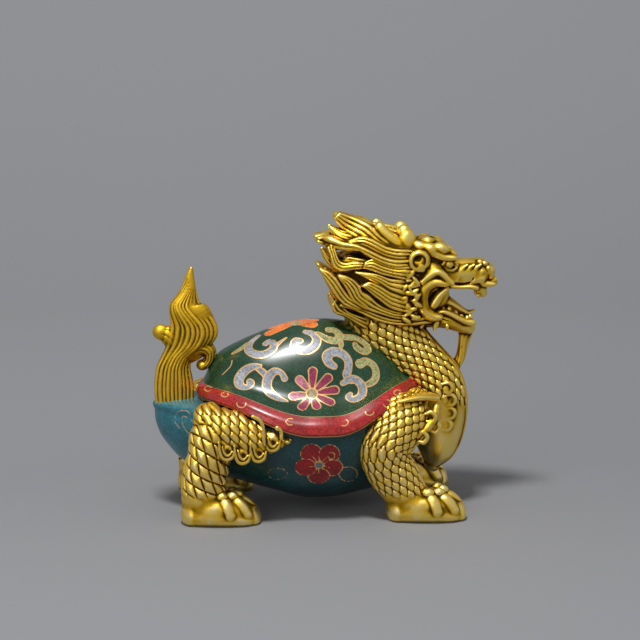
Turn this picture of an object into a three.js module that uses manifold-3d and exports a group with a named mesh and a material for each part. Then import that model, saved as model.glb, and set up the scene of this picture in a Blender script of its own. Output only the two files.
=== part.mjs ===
// Cloisonne dragon-turtle figurine: an enamelled copper shell and belly on four scaled, gilded legs,
// with a gilded dragon's neck and head in front and a flame-shaped tail behind.
// Millimetres. +X runs towards the head, +Y to the animal's left, +Z up, and the feet stand on z = 0.
import * as THREE from 'three';
import { mergeVertices } from 'three/addons/utils/BufferGeometryUtils.js';
import Module from 'manifold-3d';

const wasm = await Module();
wasm.setup();

// The tail's knob is further from the shell's middle than the nose is, so the whole is moved by this much.
const CENTRE_SHIFT = -1.85;
// Clearance between separate pieces that touch.
const JOINT_GAP = 0.3;

// Stops of the carapace, from the crown down over the rim and in under it. Each row is one contour:
// half-width and height on the flank, reach and height towards the tail, reach and height towards the neck,
// and, where the contour isn't centred on the shell's middle, the x of its widest place.
const SHELL_MIDDLE = -3;
const CROWN = [2, 65.5];
const CARAPACE_CONTOURS = [
  [6.0, 64.3, -9.0, 64.6, 10.0, 64.2, 0.5],
  [11.0, 60.6, -19.0, 61.6, 17.0, 60.6, -1.0],
  [15.0, 56.0, -28.5, 57.6, 23.0, 56.0, -2.5],
  [18.3, 50.5, -35.0, 54.0, 27.0, 52.0],
  [20.6, 45.8, -38.0, 49.8, 29.5, 49.0],
  [23.8, 41.2, -39.5, 46.5, 31.0, 47.0],
  [29.3, 37.3, -40.6, 44.3, 32.0, 46.0],
  [31.8, 34.8, -42.2, 42.8, 33.8, 44.3],
  [33.0, 31.9, -42.8, 40.8, 34.8, 42.2],
  [32.5, 30.9, -42.3, 39.8, 34.3, 41.3],
  [26.5, 33.0, -36.0, 40.4, 28.0, 41.6],
];
const CARAPACE_UNDERSIDE = 37;
// How a contour rises from the flank to its ends: where the rise starts, as a share of the reach, and how
// much of the reach it takes, behind and in front.
const RISE_BEHIND = [0.06, 0.82];
const RISE_IN_FRONT = [0.18, 0.73];

// Stops of the belly, from its covered top face out over the edge and down to the keel.
const BELLY_CONTOURS = [
  [18.0, 33.2, -40.0, 38.6, 24.0, 38.6],
  [28.0, 31.6, -57.3, 38.0, 32.0, 39.2],
  [29.2, 29.0, -57.9, 34.1, 33.0, 34.0],
  [28.4, 23.0, -56.7, 29.0, 33.0, 28.0],
  [25.8, 17.0, -53.4, 23.0, 31.0, 22.0],
  [21.3, 11.0, -46.0, 15.8, 28.5, 14.0],
  [14.5, 6.4, -29.0, 9.8, 23.0, 8.2],
  [7.5, 4.1, -15.0, 5.4, 14.0, 5.0],
];
const BELLY_TOP = 36;
const KEEL = 3;
// The belly narrows behind into a boat-like stern, which carries the tail. These are the powers of its
// plan outline, along and across, at the edge and at the keel.
const STERN_EDGE = [1.6, 1.3];
const STERN_KEEL = [2, 2];

// Sizes of the scale pattern that stands proud of the neck and legs.
const SCALE_RELIEF = 0.45;
// Locks of hair are faceted, so that each carries sharp edges along its length.
const LOCK_SIDES = 4;

const GILT = { color: 0xb8901f, roughness: 0.38, metalness: 1.0 };
const SHELL_ENAMEL = { color: 0x1d3a2a, roughness: 0.12, metalness: 0.0 };
const BELLY_ENAMEL = { color: 0x24616a, roughness: 0.14, metalness: 0.0 };

const UP = new THREE.Vector3(0, 0, 1);
const SIDEWAYS = new THREE.Vector3(0, 1, 0);

function geometryFrom(positions, triangles) {
  const geometry = new THREE.BufferGeometry();
  geometry.setAttribute('position', new THREE.Float32BufferAttribute(positions, 3));
  geometry.setIndex(triangles);
  return geometry;
}

// Six times the signed volume tells whether the faces point out.
function facesPointIn(positions, triangles) {
  const corner = (i) => new THREE.Vector3().fromArray(positions, 3 * triangles[i]);
  let volume = 0;
  for (let i = 0; i < triangles.length; i += 3) {
    volume += corner(i).dot(corner(i + 1).cross(corner(i + 2)));
  }
  return volume < 0;
}

// A closed body through rings of equally many points, closed by a fan at each end.
function loft(rings, firstPoint, lastPoint) {
  const count = rings[0].length;
  const positions = rings.flat().flatMap((p) => [p.x, p.y, p.z]);
  positions.push(...firstPoint.toArray(), ...lastPoint.toArray());
  const first = rings.length * count;
  const last = first + 1;
  const triangles = [];
  for (let j = 0; j < count; j += 1) {
    const next = (j + 1) % count;
    triangles.push(first, next, j);
    const end = (rings.length - 1) * count;
    triangles.push(last, end + j, end + next);
    for (let i = 0; i + 1 < rings.length; i += 1) {
      const a = i * count + j;
      const b = i * count + next;
      triangles.push(a, b, a + count, b, b + count, a + count);
    }
  }
  if (facesPointIn(positions, triangles)) triangles.reverse();
  return geometryFrom(positions, triangles);
}

const smooth = (t) => t * t * (3 - 2 * t);
const signedPower = (value, power) => Math.sign(value) * Math.abs(value) ** power;

// One contour of the shell: low on the flanks and lifted towards both ends.
function contourRing([flankY, flankZ, rearX, rearZ, frontX, frontZ, middle = SHELL_MIDDLE], segments, sharpness) {
  const ring = [];
  for (let j = 0; j < segments; j += 1) {
    const angle = (2 * Math.PI * j) / segments;
    const c = Math.cos(angle);
    const s = Math.sin(angle);
    const atRear = c < 0;
    const [alongPower, acrossPower] = atRear ? sharpness : [2, 2];
    const reach = atRear ? middle - rearX : frontX - middle;
    const [start, run] = atRear ? RISE_BEHIND : RISE_IN_FRONT;
    const lift = smooth(Math.min(1, Math.max(0, (Math.abs(c) - start) / run)));
    ring.push(new THREE.Vector3(
      middle + reach * signedPower(c, 2 / alongPower),
      flankY * signedPower(s, 2 / acrossPower),
      flankZ + ((atRear ? rearZ : frontZ) - flankZ) * lift,
    ));
  }
  return ring;
}

// Rows of stations, each centre x, y, z, half-thickness in the side view and half-width across it, swept
// along a smooth curve. Raised scales alternate over the surface, and ridges run along it.
function sweep(stations, { sides = 8, steps = 8, scales = 0, ridges = 0, ridgeDepth = 0 } = {}) {
  const centres = new THREE.CatmullRomCurve3(stations.map(([x, y, z]) => new THREE.Vector3(x, y, z)));
  const sizes = new THREE.CatmullRomCurve3(stations.map(([, , , p, w]) => new THREE.Vector3(p, w, 0)));
  const rings = [];
  for (let i = 0; i <= steps; i += 1) {
    const t = i / steps;
    const centre = centres.getPoint(t);
    const { x: inPlane, y: across } = sizes.getPoint(t);
    const along = centres.getTangent(t);
    const sideways = SIDEWAYS.clone().addScaledVector(along, -SIDEWAYS.dot(along)).normalize();
    const outward = new THREE.Vector3().crossVectors(sideways, along);
    const ring = [];
    for (let j = 0; j < sides; j += 1) {
      const angle = (2 * Math.PI * j) / sides;
      const ridge = 1 + ridgeDepth * Math.cos(ridges * angle);
      const scale = (i + j) % 2 === 0 ? scales : -scales;
      ring.push(centre.clone()
        .addScaledVector(outward, (inPlane * ridge + scale) * Math.cos(angle))
        .addScaledVector(sideways, (across * ridge + scale) * Math.sin(angle)));
    }
    rings.push(ring);
  }
  return loft(rings, centres.getPoint(0), centres.getPoint(1));
}

function ball([x, y, z], [rx, ry, rz], detail = 0) {
  const geometry = new THREE.IcosahedronGeometry(1, detail);
  geometry.scale(rx, ry, rz);
  geometry.translate(x, y, z);
  return geometry;
}

// A tooth, a knuckle or another small point.
function stud([x, y, z], [rx, ry, rz]) {
  const geometry = new THREE.OctahedronGeometry(1);
  geometry.scale(rx, ry, rz);
  geometry.translate(x, y, z);
  return geometry;
}

function bare(geometry) {
  geometry.deleteAttribute('normal');
  geometry.deleteAttribute('uv');
  return mergeVertices(geometry, 1e-4);
}

function solid(geometry) {
  const merged = bare(geometry);
  return new wasm.Manifold(new wasm.Mesh({
    numProp: 3,
    vertProperties: new Float32Array(merged.attributes.position.array),
    triVerts: new Uint32Array(merged.index.array),
  }));
}

// The same body with its skin moved out along its normals, to cut a neighbour clear of it.
function grown(geometry, distance) {
  const merged = bare(geometry.clone());
  merged.computeVertexNormals();
  const { position, normal } = merged.attributes;
  for (let i = 0; i < position.count; i += 1) {
    position.setXYZ(
      i,
      position.getX(i) + distance * normal.getX(i),
      position.getY(i) + distance * normal.getY(i),
      position.getZ(i) + distance * normal.getZ(i),
    );
  }
  return solid(merged);
}

const joined = (geometries) => geometries.map(solid).reduce((sum, piece) => sum.add(piece));
const cutClear = (piece, cutters) => cutters.reduce((rest, cutter) => rest.subtract(cutter), piece);

// Draws a paired form on the animal's right and its mirror image on the left.
function pair(make) {
  return [make(-1), make(1)];
}
const onSide = (side, stations) => stations.map(([x, y, z, ...sizes]) => [x, side * y, z, ...sizes]);

function carapaceGeometry() {
  const rings = CARAPACE_CONTOURS.map((contour) => contourRing(contour, 28, [2, 2]));
  return loft(
    rings,
    new THREE.Vector3(CROWN[0], 0, CROWN[1]),
    new THREE.Vector3(SHELL_MIDDLE, 0, CARAPACE_UNDERSIDE),
  );
}

function bellyGeometry() {
  const rings = BELLY_CONTOURS.map((contour, i) => {
    const depth = i / (BELLY_CONTOURS.length - 1);
    const sharpness = STERN_EDGE.map((power, k) => power + (STERN_KEEL[k] - power) * depth);
    return contourRing(contour, 24, sharpness);
  });
  return loft(
    rings,
    new THREE.Vector3(SHELL_MIDDLE, 0, BELLY_TOP),
    new THREE.Vector3(SHELL_MIDDLE, 0, KEEL),
  );
}

function neckGeometry() {
  return sweep([
    [39.0, 0, 13.8, 2.6, 6.0],
    [40.2, 0, 18.5, 6.4, 9.5],
    [41.4, 0, 24.5, 8.3, 11.0],
    [42.0, 0, 31.0, 9.2, 11.5],
    [41.6, 0, 37.5, 9.6, 11.5],
    [39.5, 0, 43.5, 9.8, 11.0],
    [35.5, 0, 48.8, 9.4, 10.5],
    [30.0, 0, 54.0, 10.2, 10.0],
    [25.0, 0, 59.5, 11.0, 9.8],
    [21.5, 0, 66.0, 12.5, 9.8],
    [20.0, 0, 73.0, 12.0, 9.5],
  ], { sides: 14, steps: 10, scales: SCALE_RELIEF });
}

// Each lock of the mane from its root behind the cheek to its free tip.
const MANE_LOCKS = [
  [[28.0, 6.0, 85.5, 3.4, 3.0], [19.5, 8.0, 92.6, 4.4, 3.4], [12.0, 6.8, 97.0, 3.7, 3.0],
    [4.9, 4.5, 101.8, 0.9, 0.9]],
  [[30.5, 10.0, 88.0, 2.2, 2.2], [22.0, 12.0, 88.2, 3.2, 2.6], [16.0, 12.0, 91.6, 2.8, 2.4],
    [10.0, 10.0, 93.6, 1.2, 1.2]],
  [[30.0, 11.0, 84.2, 2.4, 2.4], [21.3, 13.0, 84.2, 3.0, 2.6], [15.5, 12.8, 88.0, 2.8, 2.4],
    [9.0, 11.5, 91.6, 2.4, 2.2], [3.0, 9.6, 92.0, 1.9, 1.8], [-0.8, 8.5, 93.6, 1.4, 1.4]],
  [[9.0, 10.6, 91.2, 1.6, 1.6], [4.8, 10.6, 88.4, 1.5, 1.5], [4.2, 10.6, 85.8, 1.5, 1.5],
    [7.0, 11.0, 83.0, 1.5, 1.5]],
  [[30.0, 11.4, 81.0, 2.2, 2.2], [21.3, 13.4, 80.2, 2.9, 2.6], [16.0, 13.0, 83.0, 2.6, 2.4],
    [9.3, 11.6, 84.6, 2.0, 2.0], [4.6, 10.0, 83.6, 1.1, 1.1]],
  [[29.5, 11.0, 67.4, 2.4, 2.2], [18.0, 12.6, 68.2, 3.0, 2.6], [9.6, 12.0, 72.0, 2.8, 2.4],
    [4.0, 10.2, 77.4, 2.2, 2.0], [-0.3, 8.2, 84.0, 0.7, 0.7]],
  [[18.0, 13.4, 69.8, 2.0, 2.0], [12.9, 13.2, 74.0, 2.2, 2.2], [10.0, 12.0, 78.6, 2.0, 2.0],
    [6.0, 9.6, 81.6, 1.0, 1.0]],
  [[29.5, 12.0, 71.6, 2.3, 2.0], [23.0, 13.6, 72.6, 2.8, 2.4], [18.0, 13.2, 76.6, 2.4, 2.2],
    [13.2, 11.8, 79.2, 0.9, 0.9]],
  [[31.2, 9.6, 66.0, 1.6, 1.6], [25.5, 10.8, 64.4, 2.0, 2.0], [16.2, 10.8, 66.0, 2.2, 2.2],
    [8.0, 9.0, 69.4, 2.0, 2.0], [3.4, 6.4, 72.4, 0.9, 0.9]],
  [[18.0, 5.5, 82.0, 4.0, 4.0], [7.0, 5.0, 82.0, 3.4, 3.4], [0.6, 3.4, 86.6, 0.9, 0.9]],
];

function maneLock(stations) {
  return sweep(stations, { sides: LOCK_SIDES, steps: stations.length - 1 });
}

function faceForms(side) {
  const tube = (stations, steps = 3, sides = 4) => sweep(onSide(side, stations), { sides, steps });
  return [
    // Horn: a thick stem forked into a long back prong and a short front lobe.
    tube([[30.5, 5.0, 88.5, 3.6, 2.6], [28.2, 5.6, 93.6, 3.4, 2.6], [26.8, 6.0, 97.2, 2.4, 2.2],
      [27.2, 6.2, 99.8, 1.1, 1.1]]),
    tube([[29.5, 5.2, 90.5, 2.2, 2.2], [24.6, 6.2, 95.4, 2.2, 2.0], [21.0, 6.8, 98.8, 1.8, 1.7],
      [19.0, 7.2, 101.0, 0.9, 0.9]]),
    // Brow ridge over the eye, and the eye itself.
    tube([[33.0, 8.2, 89.8, 1.8, 1.6], [37.6, 7.6, 91.2, 2.2, 2.2], [42.4, 6.6, 89.8, 2.2, 2.2],
      [46.2, 5.2, 87.0, 1.4, 1.6]]),
    ball([43.9, side * 6.4, 85.0], [2.0, 1.8, 1.9]),
    // Ear, a curled disc.
    ball([33.1, side * 10.8, 86.3], [3.2, 1.7, 3.2]),
    // Cheekbone running out along the upper lip.
    tube([[34.5, 9.4, 78.8, 1.6, 1.6], [40.0, 8.8, 82.2, 1.7, 1.6], [45.8, 7.2, 79.4, 1.5, 1.4],
      [51.5, 6.0, 77.6, 1.3, 1.2], [56.8, 5.0, 77.2, 1.2, 1.2]]),
    // Fold of skin round the corner of the mouth.
    tube([[40.2, 8.0, 79.0, 1.2, 1.2], [35.6, 9.2, 77.2, 1.7, 1.6], [34.0, 9.6, 72.6, 1.8, 1.7],
      [34.8, 9.2, 68.0, 1.7, 1.6], [38.6, 7.6, 65.4, 1.4, 1.3]], 5),
    // Cheek muscle inside the mouth.
    stud([38.8, side * 6.4, 72.4], [2.3, 2.0, 3.6]),
    // Nostril and the curled lip that ends as a fang.
    ball([56.4, side * 4.4, 80.4], [2.6, 2.4, 2.8]),
    ball([60.2, side * 2.6, 78.3], [1.9, 2.0, 1.6]),
    tube([[54.6, 4.2, 77.2, 1.8, 1.5], [55.6, 4.2, 74.8, 1.3, 1.2], [56.4, 4.2, 72.2, 0.4, 0.4]], 2),
    // Lower teeth.
    stud([44.6, side * 4.2, 67.9], [1.4, 1.2, 2.4]),
    stud([50.2, side * 3.2, 65.0], [1.4, 1.2, 2.8]),
    // Curls of the whiskers behind the jaw.
    stud([31.2, side * 10.6, 78.2], [3.0, 2.6, 3.2]),
    stud([31.2, side * 10.8, 72.0], [3.0, 2.6, 3.2]),
    stud([33.6, side * 7.6, 64.8], [2.3, 2.4, 3.0]),
  ];
}

function headForms() {
  return [
    ball([21.5, 0, 79.5], [15.5, 11.5, 13.5], 1),
    ball([33.0, 0, 79.0], [8.5, 10.2, 13.0], 1),
    ball([36.5, 0, 87.2], [9.0, 7.6, 6.6], 1),
    // Upper jaw out to the snout.
    sweep([
      [33.0, 0, 83.0, 7.5, 9.0],
      [39.0, 0, 82.6, 6.6, 8.2],
      [45.0, 0, 80.9, 5.2, 6.8],
      [51.0, 0, 80.9, 5.0, 5.6],
      [56.0, 0, 80.8, 4.5, 5.4],
      [59.0, 0, 79.8, 3.0, 4.2],
    ], { sides: 8, steps: 5 }),
    // Lower jaw.
    sweep([
      [31.0, 0, 68.5, 5.5, 8.5],
      [38.5, 0, 66.0, 4.3, 7.2],
      [45.5, 0, 64.3, 3.6, 5.8],
      [51.0, 0, 62.4, 3.2, 4.8],
      [53.0, 0, 61.6, 2.0, 3.4],
    ], { sides: 6, steps: 4 }),
    // Throat of the open mouth, and the tongue.
    ball([38.0, 0, 73.5], [6.6, 6.2, 7.0]),
    sweep([
      [41.0, 0, 71.6, 2.6, 4.0],
      [46.2, 0, 69.2, 2.2, 3.8],
      [50.4, 0, 67.6, 1.6, 3.0],
      [53.6, 0, 67.4, 0.6, 1.2],
    ], { sides: 5, steps: 4 }),
    // The beard hangs from the chin as one twisted post and meets the throat.
    sweep([
      [50.4, 0, 60.5, 1.8, 2.2],
      [50.6, 0, 56.8, 1.6, 1.7],
      [49.2, 0, 52.8, 1.3, 1.4],
      [47.4, 0, 49.6, 1.4, 1.5],
      [45.0, 0, 46.6, 1.8, 2.0],
    ], { sides: 5, steps: 5 }),
    // Crest between the horns and down the nape.
    sweep([
      [33.0, 0, 91.5, 2.2, 2.4],
      [24.0, 0, 95.0, 3.0, 3.2],
      [14.0, 0, 95.5, 3.2, 3.2],
      [6.0, 0, 95.0, 1.2, 1.2],
    ], { sides: LOCK_SIDES, steps: 3 }),
    ...pair(faceForms).flat(),
    ...MANE_LOCKS.flatMap((lock) => pair((side) => maneLock(onSide(side, lock)))),
    // Curls that fringe the neck beside the breast plate.
    ...pair((side) => [
      ball([44.6, side * 10.0, 40.8], [2.6, 1.8, 2.6]),
      ball([45.2, side * 10.2, 34.2], [2.6, 1.8, 2.6]),
    ]).flat(),
  ];
}

function tailForms() {
  return [
    sweep([
      [-50.2, 0, 38.6, 7.2, 5.6],
      [-51.0, 0, 45.0, 6.4, 5.2],
      [-49.6, 0, 51.0, 6.4, 5.2],
      [-45.6, 0, 57.0, 8.2, 5.2],
      [-43.0, 0, 63.5, 8.0, 4.8],
      [-44.0, 0, 69.0, 7.0, 4.0],
      [-44.6, 0, 74.0, 4.2, 2.8],
      [-44.2, 0, 79.0, 1.6, 1.4],
      [-44.1, 0, 83.4, 0.5, 0.5],
    ], { sides: 10, steps: 9, ridges: 5, ridgeDepth: 0.08 }),
    // Side locks that wind up each face of the flame.
    ...pair((side) => sweep(onSide(side, [
      [-52.5, 4.4, 42.0, 2.6, 1.6],
      [-50.6, 4.8, 51.0, 2.8, 1.8],
      [-46.4, 4.8, 59.0, 3.2, 1.8],
      [-46.6, 3.8, 67.0, 2.8, 1.6],
      [-44.8, 1.8, 76.0, 1.0, 0.8],
    ]), { sides: 4, steps: 4 })),
    // Knob curled out behind.
    sweep([[-50.0, 0, 56.0, 2.6, 3.0], [-53.0, 0, 60.0, 2.2, 2.6], [-55.6, 0, 61.8, 2.0, 2.2]], { sides: 6, steps: 3 }),
    ball([-55.9, 0, 62.0], [2.4, 2.6, 2.5]),
    // Hook curled down in front, over a small opening.
    sweep([
      [-43.0, 0, 58.5, 3.4, 3.8],
      [-38.6, 0, 58.6, 3.0, 3.6],
      [-36.4, 0, 56.4, 2.2, 3.2],
      [-36.6, 0, 53.8, 1.7, 2.6],
    ], { sides: 6, steps: 4 }),
    ball([-37.8, 0, 52.8], [2.0, 2.4, 1.9]),
  ];
}

// Toes lie side by side in front of the foot, each with a raised knuckle.
const TOES_ACROSS = [-5.2, 0, 5.2];

function toes(tipX, knuckleX, middleY) {
  return TOES_ACROSS.flatMap((offset) => {
    const shorter = 0.12 * offset * offset;
    return [
      ball([tipX - shorter, middleY + offset, 4.6], [4.4, 2.8, 4.6]),
      stud([knuckleX - 0.6 * shorter, middleY + offset, 9.6], [3.6, 3.0, 3.2]),
    ];
  });
}

function frontLegForms(side) {
  const middleY = side * 23.6;
  return [
    sweep(onSide(side, [
      [31.5, 17.0, 40.0, 4.0, 4.0],
      [28.6, 20.0, 36.4, 8.6, 7.4],
      [24.2, 23.0, 31.0, 8.8, 7.6],
      [20.2, 24.4, 25.4, 8.6, 7.0],
      [21.0, 24.2, 19.6, 8.2, 6.6],
      [24.4, 23.8, 14.0, 8.0, 6.6],
      [28.0, 23.6, 8.0, 7.0, 6.8],
    ]), { sides: 8, steps: 7, scales: SCALE_RELIEF }),
    // Foot.
    sweep(onSide(side, [
      [23.4, 23.6, 3.4, 4.6, 5.6],
      [29.0, 23.6, 4.4, 7.0, 7.6],
      [36.0, 23.6, 4.6, 8.0, 8.0],
      [42.0, 23.6, 3.4, 6.2, 7.6],
    ]), { sides: 8, steps: 3 }),
    ...toes(44.0, 40.2, middleY),
    // Flap and curls of the shoulder.
    ball([29.6, side * 25.6, 41.0], [5.8, 3.0, 2.6]),
    ball([34.8, side * 24.6, 32.4], [2.8, 2.3, 2.6]),
    ball([31.4, side * 27.2, 29.0], [2.4, 2.0, 2.4]),
  ];
}

// Curls along the lower edge of the thigh's cuff, with the spacing seen from the side.
const CUFF_CURLS = [[-17.6, 26.6], [-22.6, 23.9], [-27.8, 23.8], [-33.2, 25.4]];

function rearLegForms(side) {
  const middleY = side * 23.6;
  return [
    sweep(onSide(side, [
      [-39.0, 21.0, 36.0, 4.8, 5.0],
      [-38.4, 23.2, 31.0, 7.2, 7.2],
      [-39.2, 24.2, 24.0, 7.0, 7.0],
      [-40.6, 24.0, 17.0, 7.4, 6.6],
      [-41.6, 23.6, 9.0, 7.2, 6.8],
    ]), { sides: 8, steps: 6, scales: SCALE_RELIEF }),
    // Thigh, laid forward along the belly to a pointed cuff.
    sweep(onSide(side, [
      [-40.0, 22.4, 32.0, 6.6, 7.0],
      [-34.0, 24.6, 31.4, 7.4, 6.4],
      [-27.0, 26.6, 29.6, 6.6, 4.6],
      [-20.0, 28.0, 28.6, 4.2, 3.2],
      [-12.6, 28.8, 29.2, 0.8, 1.4],
    ]), { sides: 8, steps: 4, scales: 0.7 * SCALE_RELIEF }),
    sweep(onSide(side, [
      [-44.4, 23.6, 3.8, 5.0, 5.8],
      [-39.0, 23.6, 4.6, 7.8, 7.6],
      [-33.0, 23.6, 4.6, 8.0, 8.0],
      [-27.6, 23.6, 3.4, 6.0, 7.4],
    ]), { sides: 8, steps: 3 }),
    ...toes(-26.2, -30.0, middleY),
    ...CUFF_CURLS.map(([x, z]) => ball([x, side * 29.2, z], [2.4, 1.8, 2.3])),
  ];
}

// Forms joined into one casting, cut clear of its neighbours and flat where it stands.
function casting(forms, neighbours) {
  return cutClear(joined(forms), neighbours).trimByPlane(UP.toArray(), 0);
}

function meshOf(name, body, finish) {
  const { vertProperties, triVerts } = body.getMesh();
  const geometry = geometryFrom(Array.from(vertProperties), Array.from(triVerts));
  geometry.computeVertexNormals();
  const mesh = new THREE.Mesh(geometry, new THREE.MeshStandardMaterial(finish));
  mesh.name = name;
  return mesh;
}

const cutRoundShell = grown(carapaceGeometry(), 1.4 * JOINT_GAP);
const cutRoundBelly = grown(bellyGeometry(), 1.4 * JOINT_GAP);
const cutRoundNeck = grown(neckGeometry(), 1.4 * JOINT_GAP);
const shellCutters = [cutRoundShell, cutRoundBelly];
const legCutters = [...shellCutters, cutRoundNeck];

const figurine = new THREE.Group();
figurine.position.x = CENTRE_SHIFT;
figurine.add(
  meshOf('carapace', solid(carapaceGeometry()), SHELL_ENAMEL),
  meshOf('belly', solid(bellyGeometry()), BELLY_ENAMEL),
  meshOf('head_and_neck', casting([neckGeometry(), ...headForms()], shellCutters), GILT),
  meshOf('tail', casting(tailForms(), shellCutters), GILT),
  meshOf('front_right_leg', casting(frontLegForms(-1), legCutters), GILT),
  meshOf('front_left_leg', casting(frontLegForms(1), legCutters), GILT),
  meshOf('rear_right_leg', casting(rearLegForms(-1), shellCutters), GILT),
  meshOf('rear_left_leg', casting(rearLegForms(1), shellCutters), GILT),
);

export default figurine;
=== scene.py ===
"""Cloisonne dragon-turtle figurine: cast gilt head, tail and legs with a domed enamel shell and belly."""

import math
from types import SimpleNamespace

import bpy
import numpy as np
import openvdb
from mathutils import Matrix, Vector
from mathutils.bvhtree import BVHTree


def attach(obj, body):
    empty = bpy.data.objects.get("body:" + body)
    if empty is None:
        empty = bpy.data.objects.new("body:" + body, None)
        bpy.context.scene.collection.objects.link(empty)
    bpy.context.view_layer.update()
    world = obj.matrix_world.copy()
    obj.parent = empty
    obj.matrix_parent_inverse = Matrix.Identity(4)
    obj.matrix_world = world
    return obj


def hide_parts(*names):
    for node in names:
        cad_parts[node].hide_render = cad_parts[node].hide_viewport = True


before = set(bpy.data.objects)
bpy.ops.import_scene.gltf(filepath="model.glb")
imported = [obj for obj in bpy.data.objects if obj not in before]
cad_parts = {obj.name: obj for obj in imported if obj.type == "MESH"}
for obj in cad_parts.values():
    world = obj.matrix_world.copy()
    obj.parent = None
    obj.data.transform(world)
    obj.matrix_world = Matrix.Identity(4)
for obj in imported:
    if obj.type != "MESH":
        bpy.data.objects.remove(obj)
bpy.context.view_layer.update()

# All shapes below are in millimetres with the head towards +X, and move by this much in X to the frame.
CENTRE_SHIFT = -1.85
MM = 0.001

# What a field holds away from its forms, and how far past a ball or a tube it is worked out.
FAR = 6.0
BALL_REACH = 2.5
TUBE_REACH = 2.2
# The least half-width of a tube, and the mark of grid points that no tube has come near.
THINNEST = 0.12
UNTOUCHED = 1e6


# Fields: distances from a surface on a regular grid, negative inside.

class Field:
    """A mirrored field holds the near half alone, -Y, with its last layer on the middle plane."""

    def __init__(self, low, high, voxel, mirrored=False):
        low = np.array(low, float)
        high = np.array(high, float)
        if mirrored:
            low[1] = -math.ceil(-low[1] / voxel) * voxel
            high[1] = 0.0
        counts = np.rint((high - low) / voxel).astype(int) + 1
        self.voxel = voxel
        self.mirrored = mirrored
        self.low = low
        self.axes = [(low[i] + voxel * np.arange(counts[i])).astype(np.float32) for i in range(3)]
        self.values = np.full(counts, FAR, np.float32)

    def window(self, low, high):
        part = tuple(slice(*np.searchsorted(axis, (a, b))) for axis, a, b in zip(self.axes, low, high))
        x, y, z = (axis[cut] for axis, cut in zip(self.axes, part))
        return part, x[:, None, None], y[None, :, None], z[None, None, :]

    def join(self, part, distance, soft):
        held = self.values[part]
        overlap = np.maximum(soft - np.abs(held - distance), 0)
        self.values[part] = np.minimum(held, distance) - overlap * overlap / (4 * soft)

    def carve(self, part, distance, soft):
        held = self.values[part]
        overlap = np.maximum(soft - np.abs(held + distance), 0)
        self.values[part] = np.maximum(held, -distance) + overlap * overlap / (4 * soft)

    def put(self, part, distance, soft, hollow):
        if hollow:
            self.carve(part, distance, soft)
        else:
            self.join(part, distance, soft)


def smoothstep(x):
    x = np.clip(x, 0, 1)
    return x * x * (3 - 2 * x)


def curve_through(stations, steps):
    rows = np.array(stations, float)
    rows = np.vstack([2 * rows[0] - rows[1], rows, 2 * rows[-1] - rows[-2]])
    line = []
    for i in range(1, len(rows) - 2):
        a, b, c, d = rows[i - 1:i + 3]
        for t in np.arange(steps) / steps:
            line.append(0.5 * (2 * b + (c - a) * t + (2 * a - 5 * b + 4 * c - d) * t * t
                               + (3 * b - a - 3 * c + d) * t ** 3))
    line.append(rows[-2])
    return np.array(line)


def ellipsoid_distance(x, y, z, rx, ry, rz):
    near = np.sqrt((x / rx) ** 2 + (y / ry) ** 2 + (z / rz) ** 2)
    steep = np.sqrt((x / rx ** 2) ** 2 + (y / ry ** 2) ** 2 + (z / rz ** 2) ** 2)
    return near * (near - 1) / np.maximum(steep, 1e-5)


def ball(field, centre, radii, soft=0.8, tilt=0.0, hollow=False):
    """An ellipsoid, tilted in degrees from +X towards +Z in the side view."""
    centre = np.array(centre, float)
    reach = max(radii) + BALL_REACH
    part, X, Y, Z = field.window(centre - reach, centre + reach)
    x, y, z = X - centre[0], Y - centre[1], Z - centre[2]
    if tilt:
        c, s = math.cos(math.radians(tilt)), math.sin(math.radians(tilt))
        x, z = c * x + s * z, c * z - s * x
    field.put(part, ellipsoid_distance(x, y, z, *radii), soft, hollow)


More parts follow.
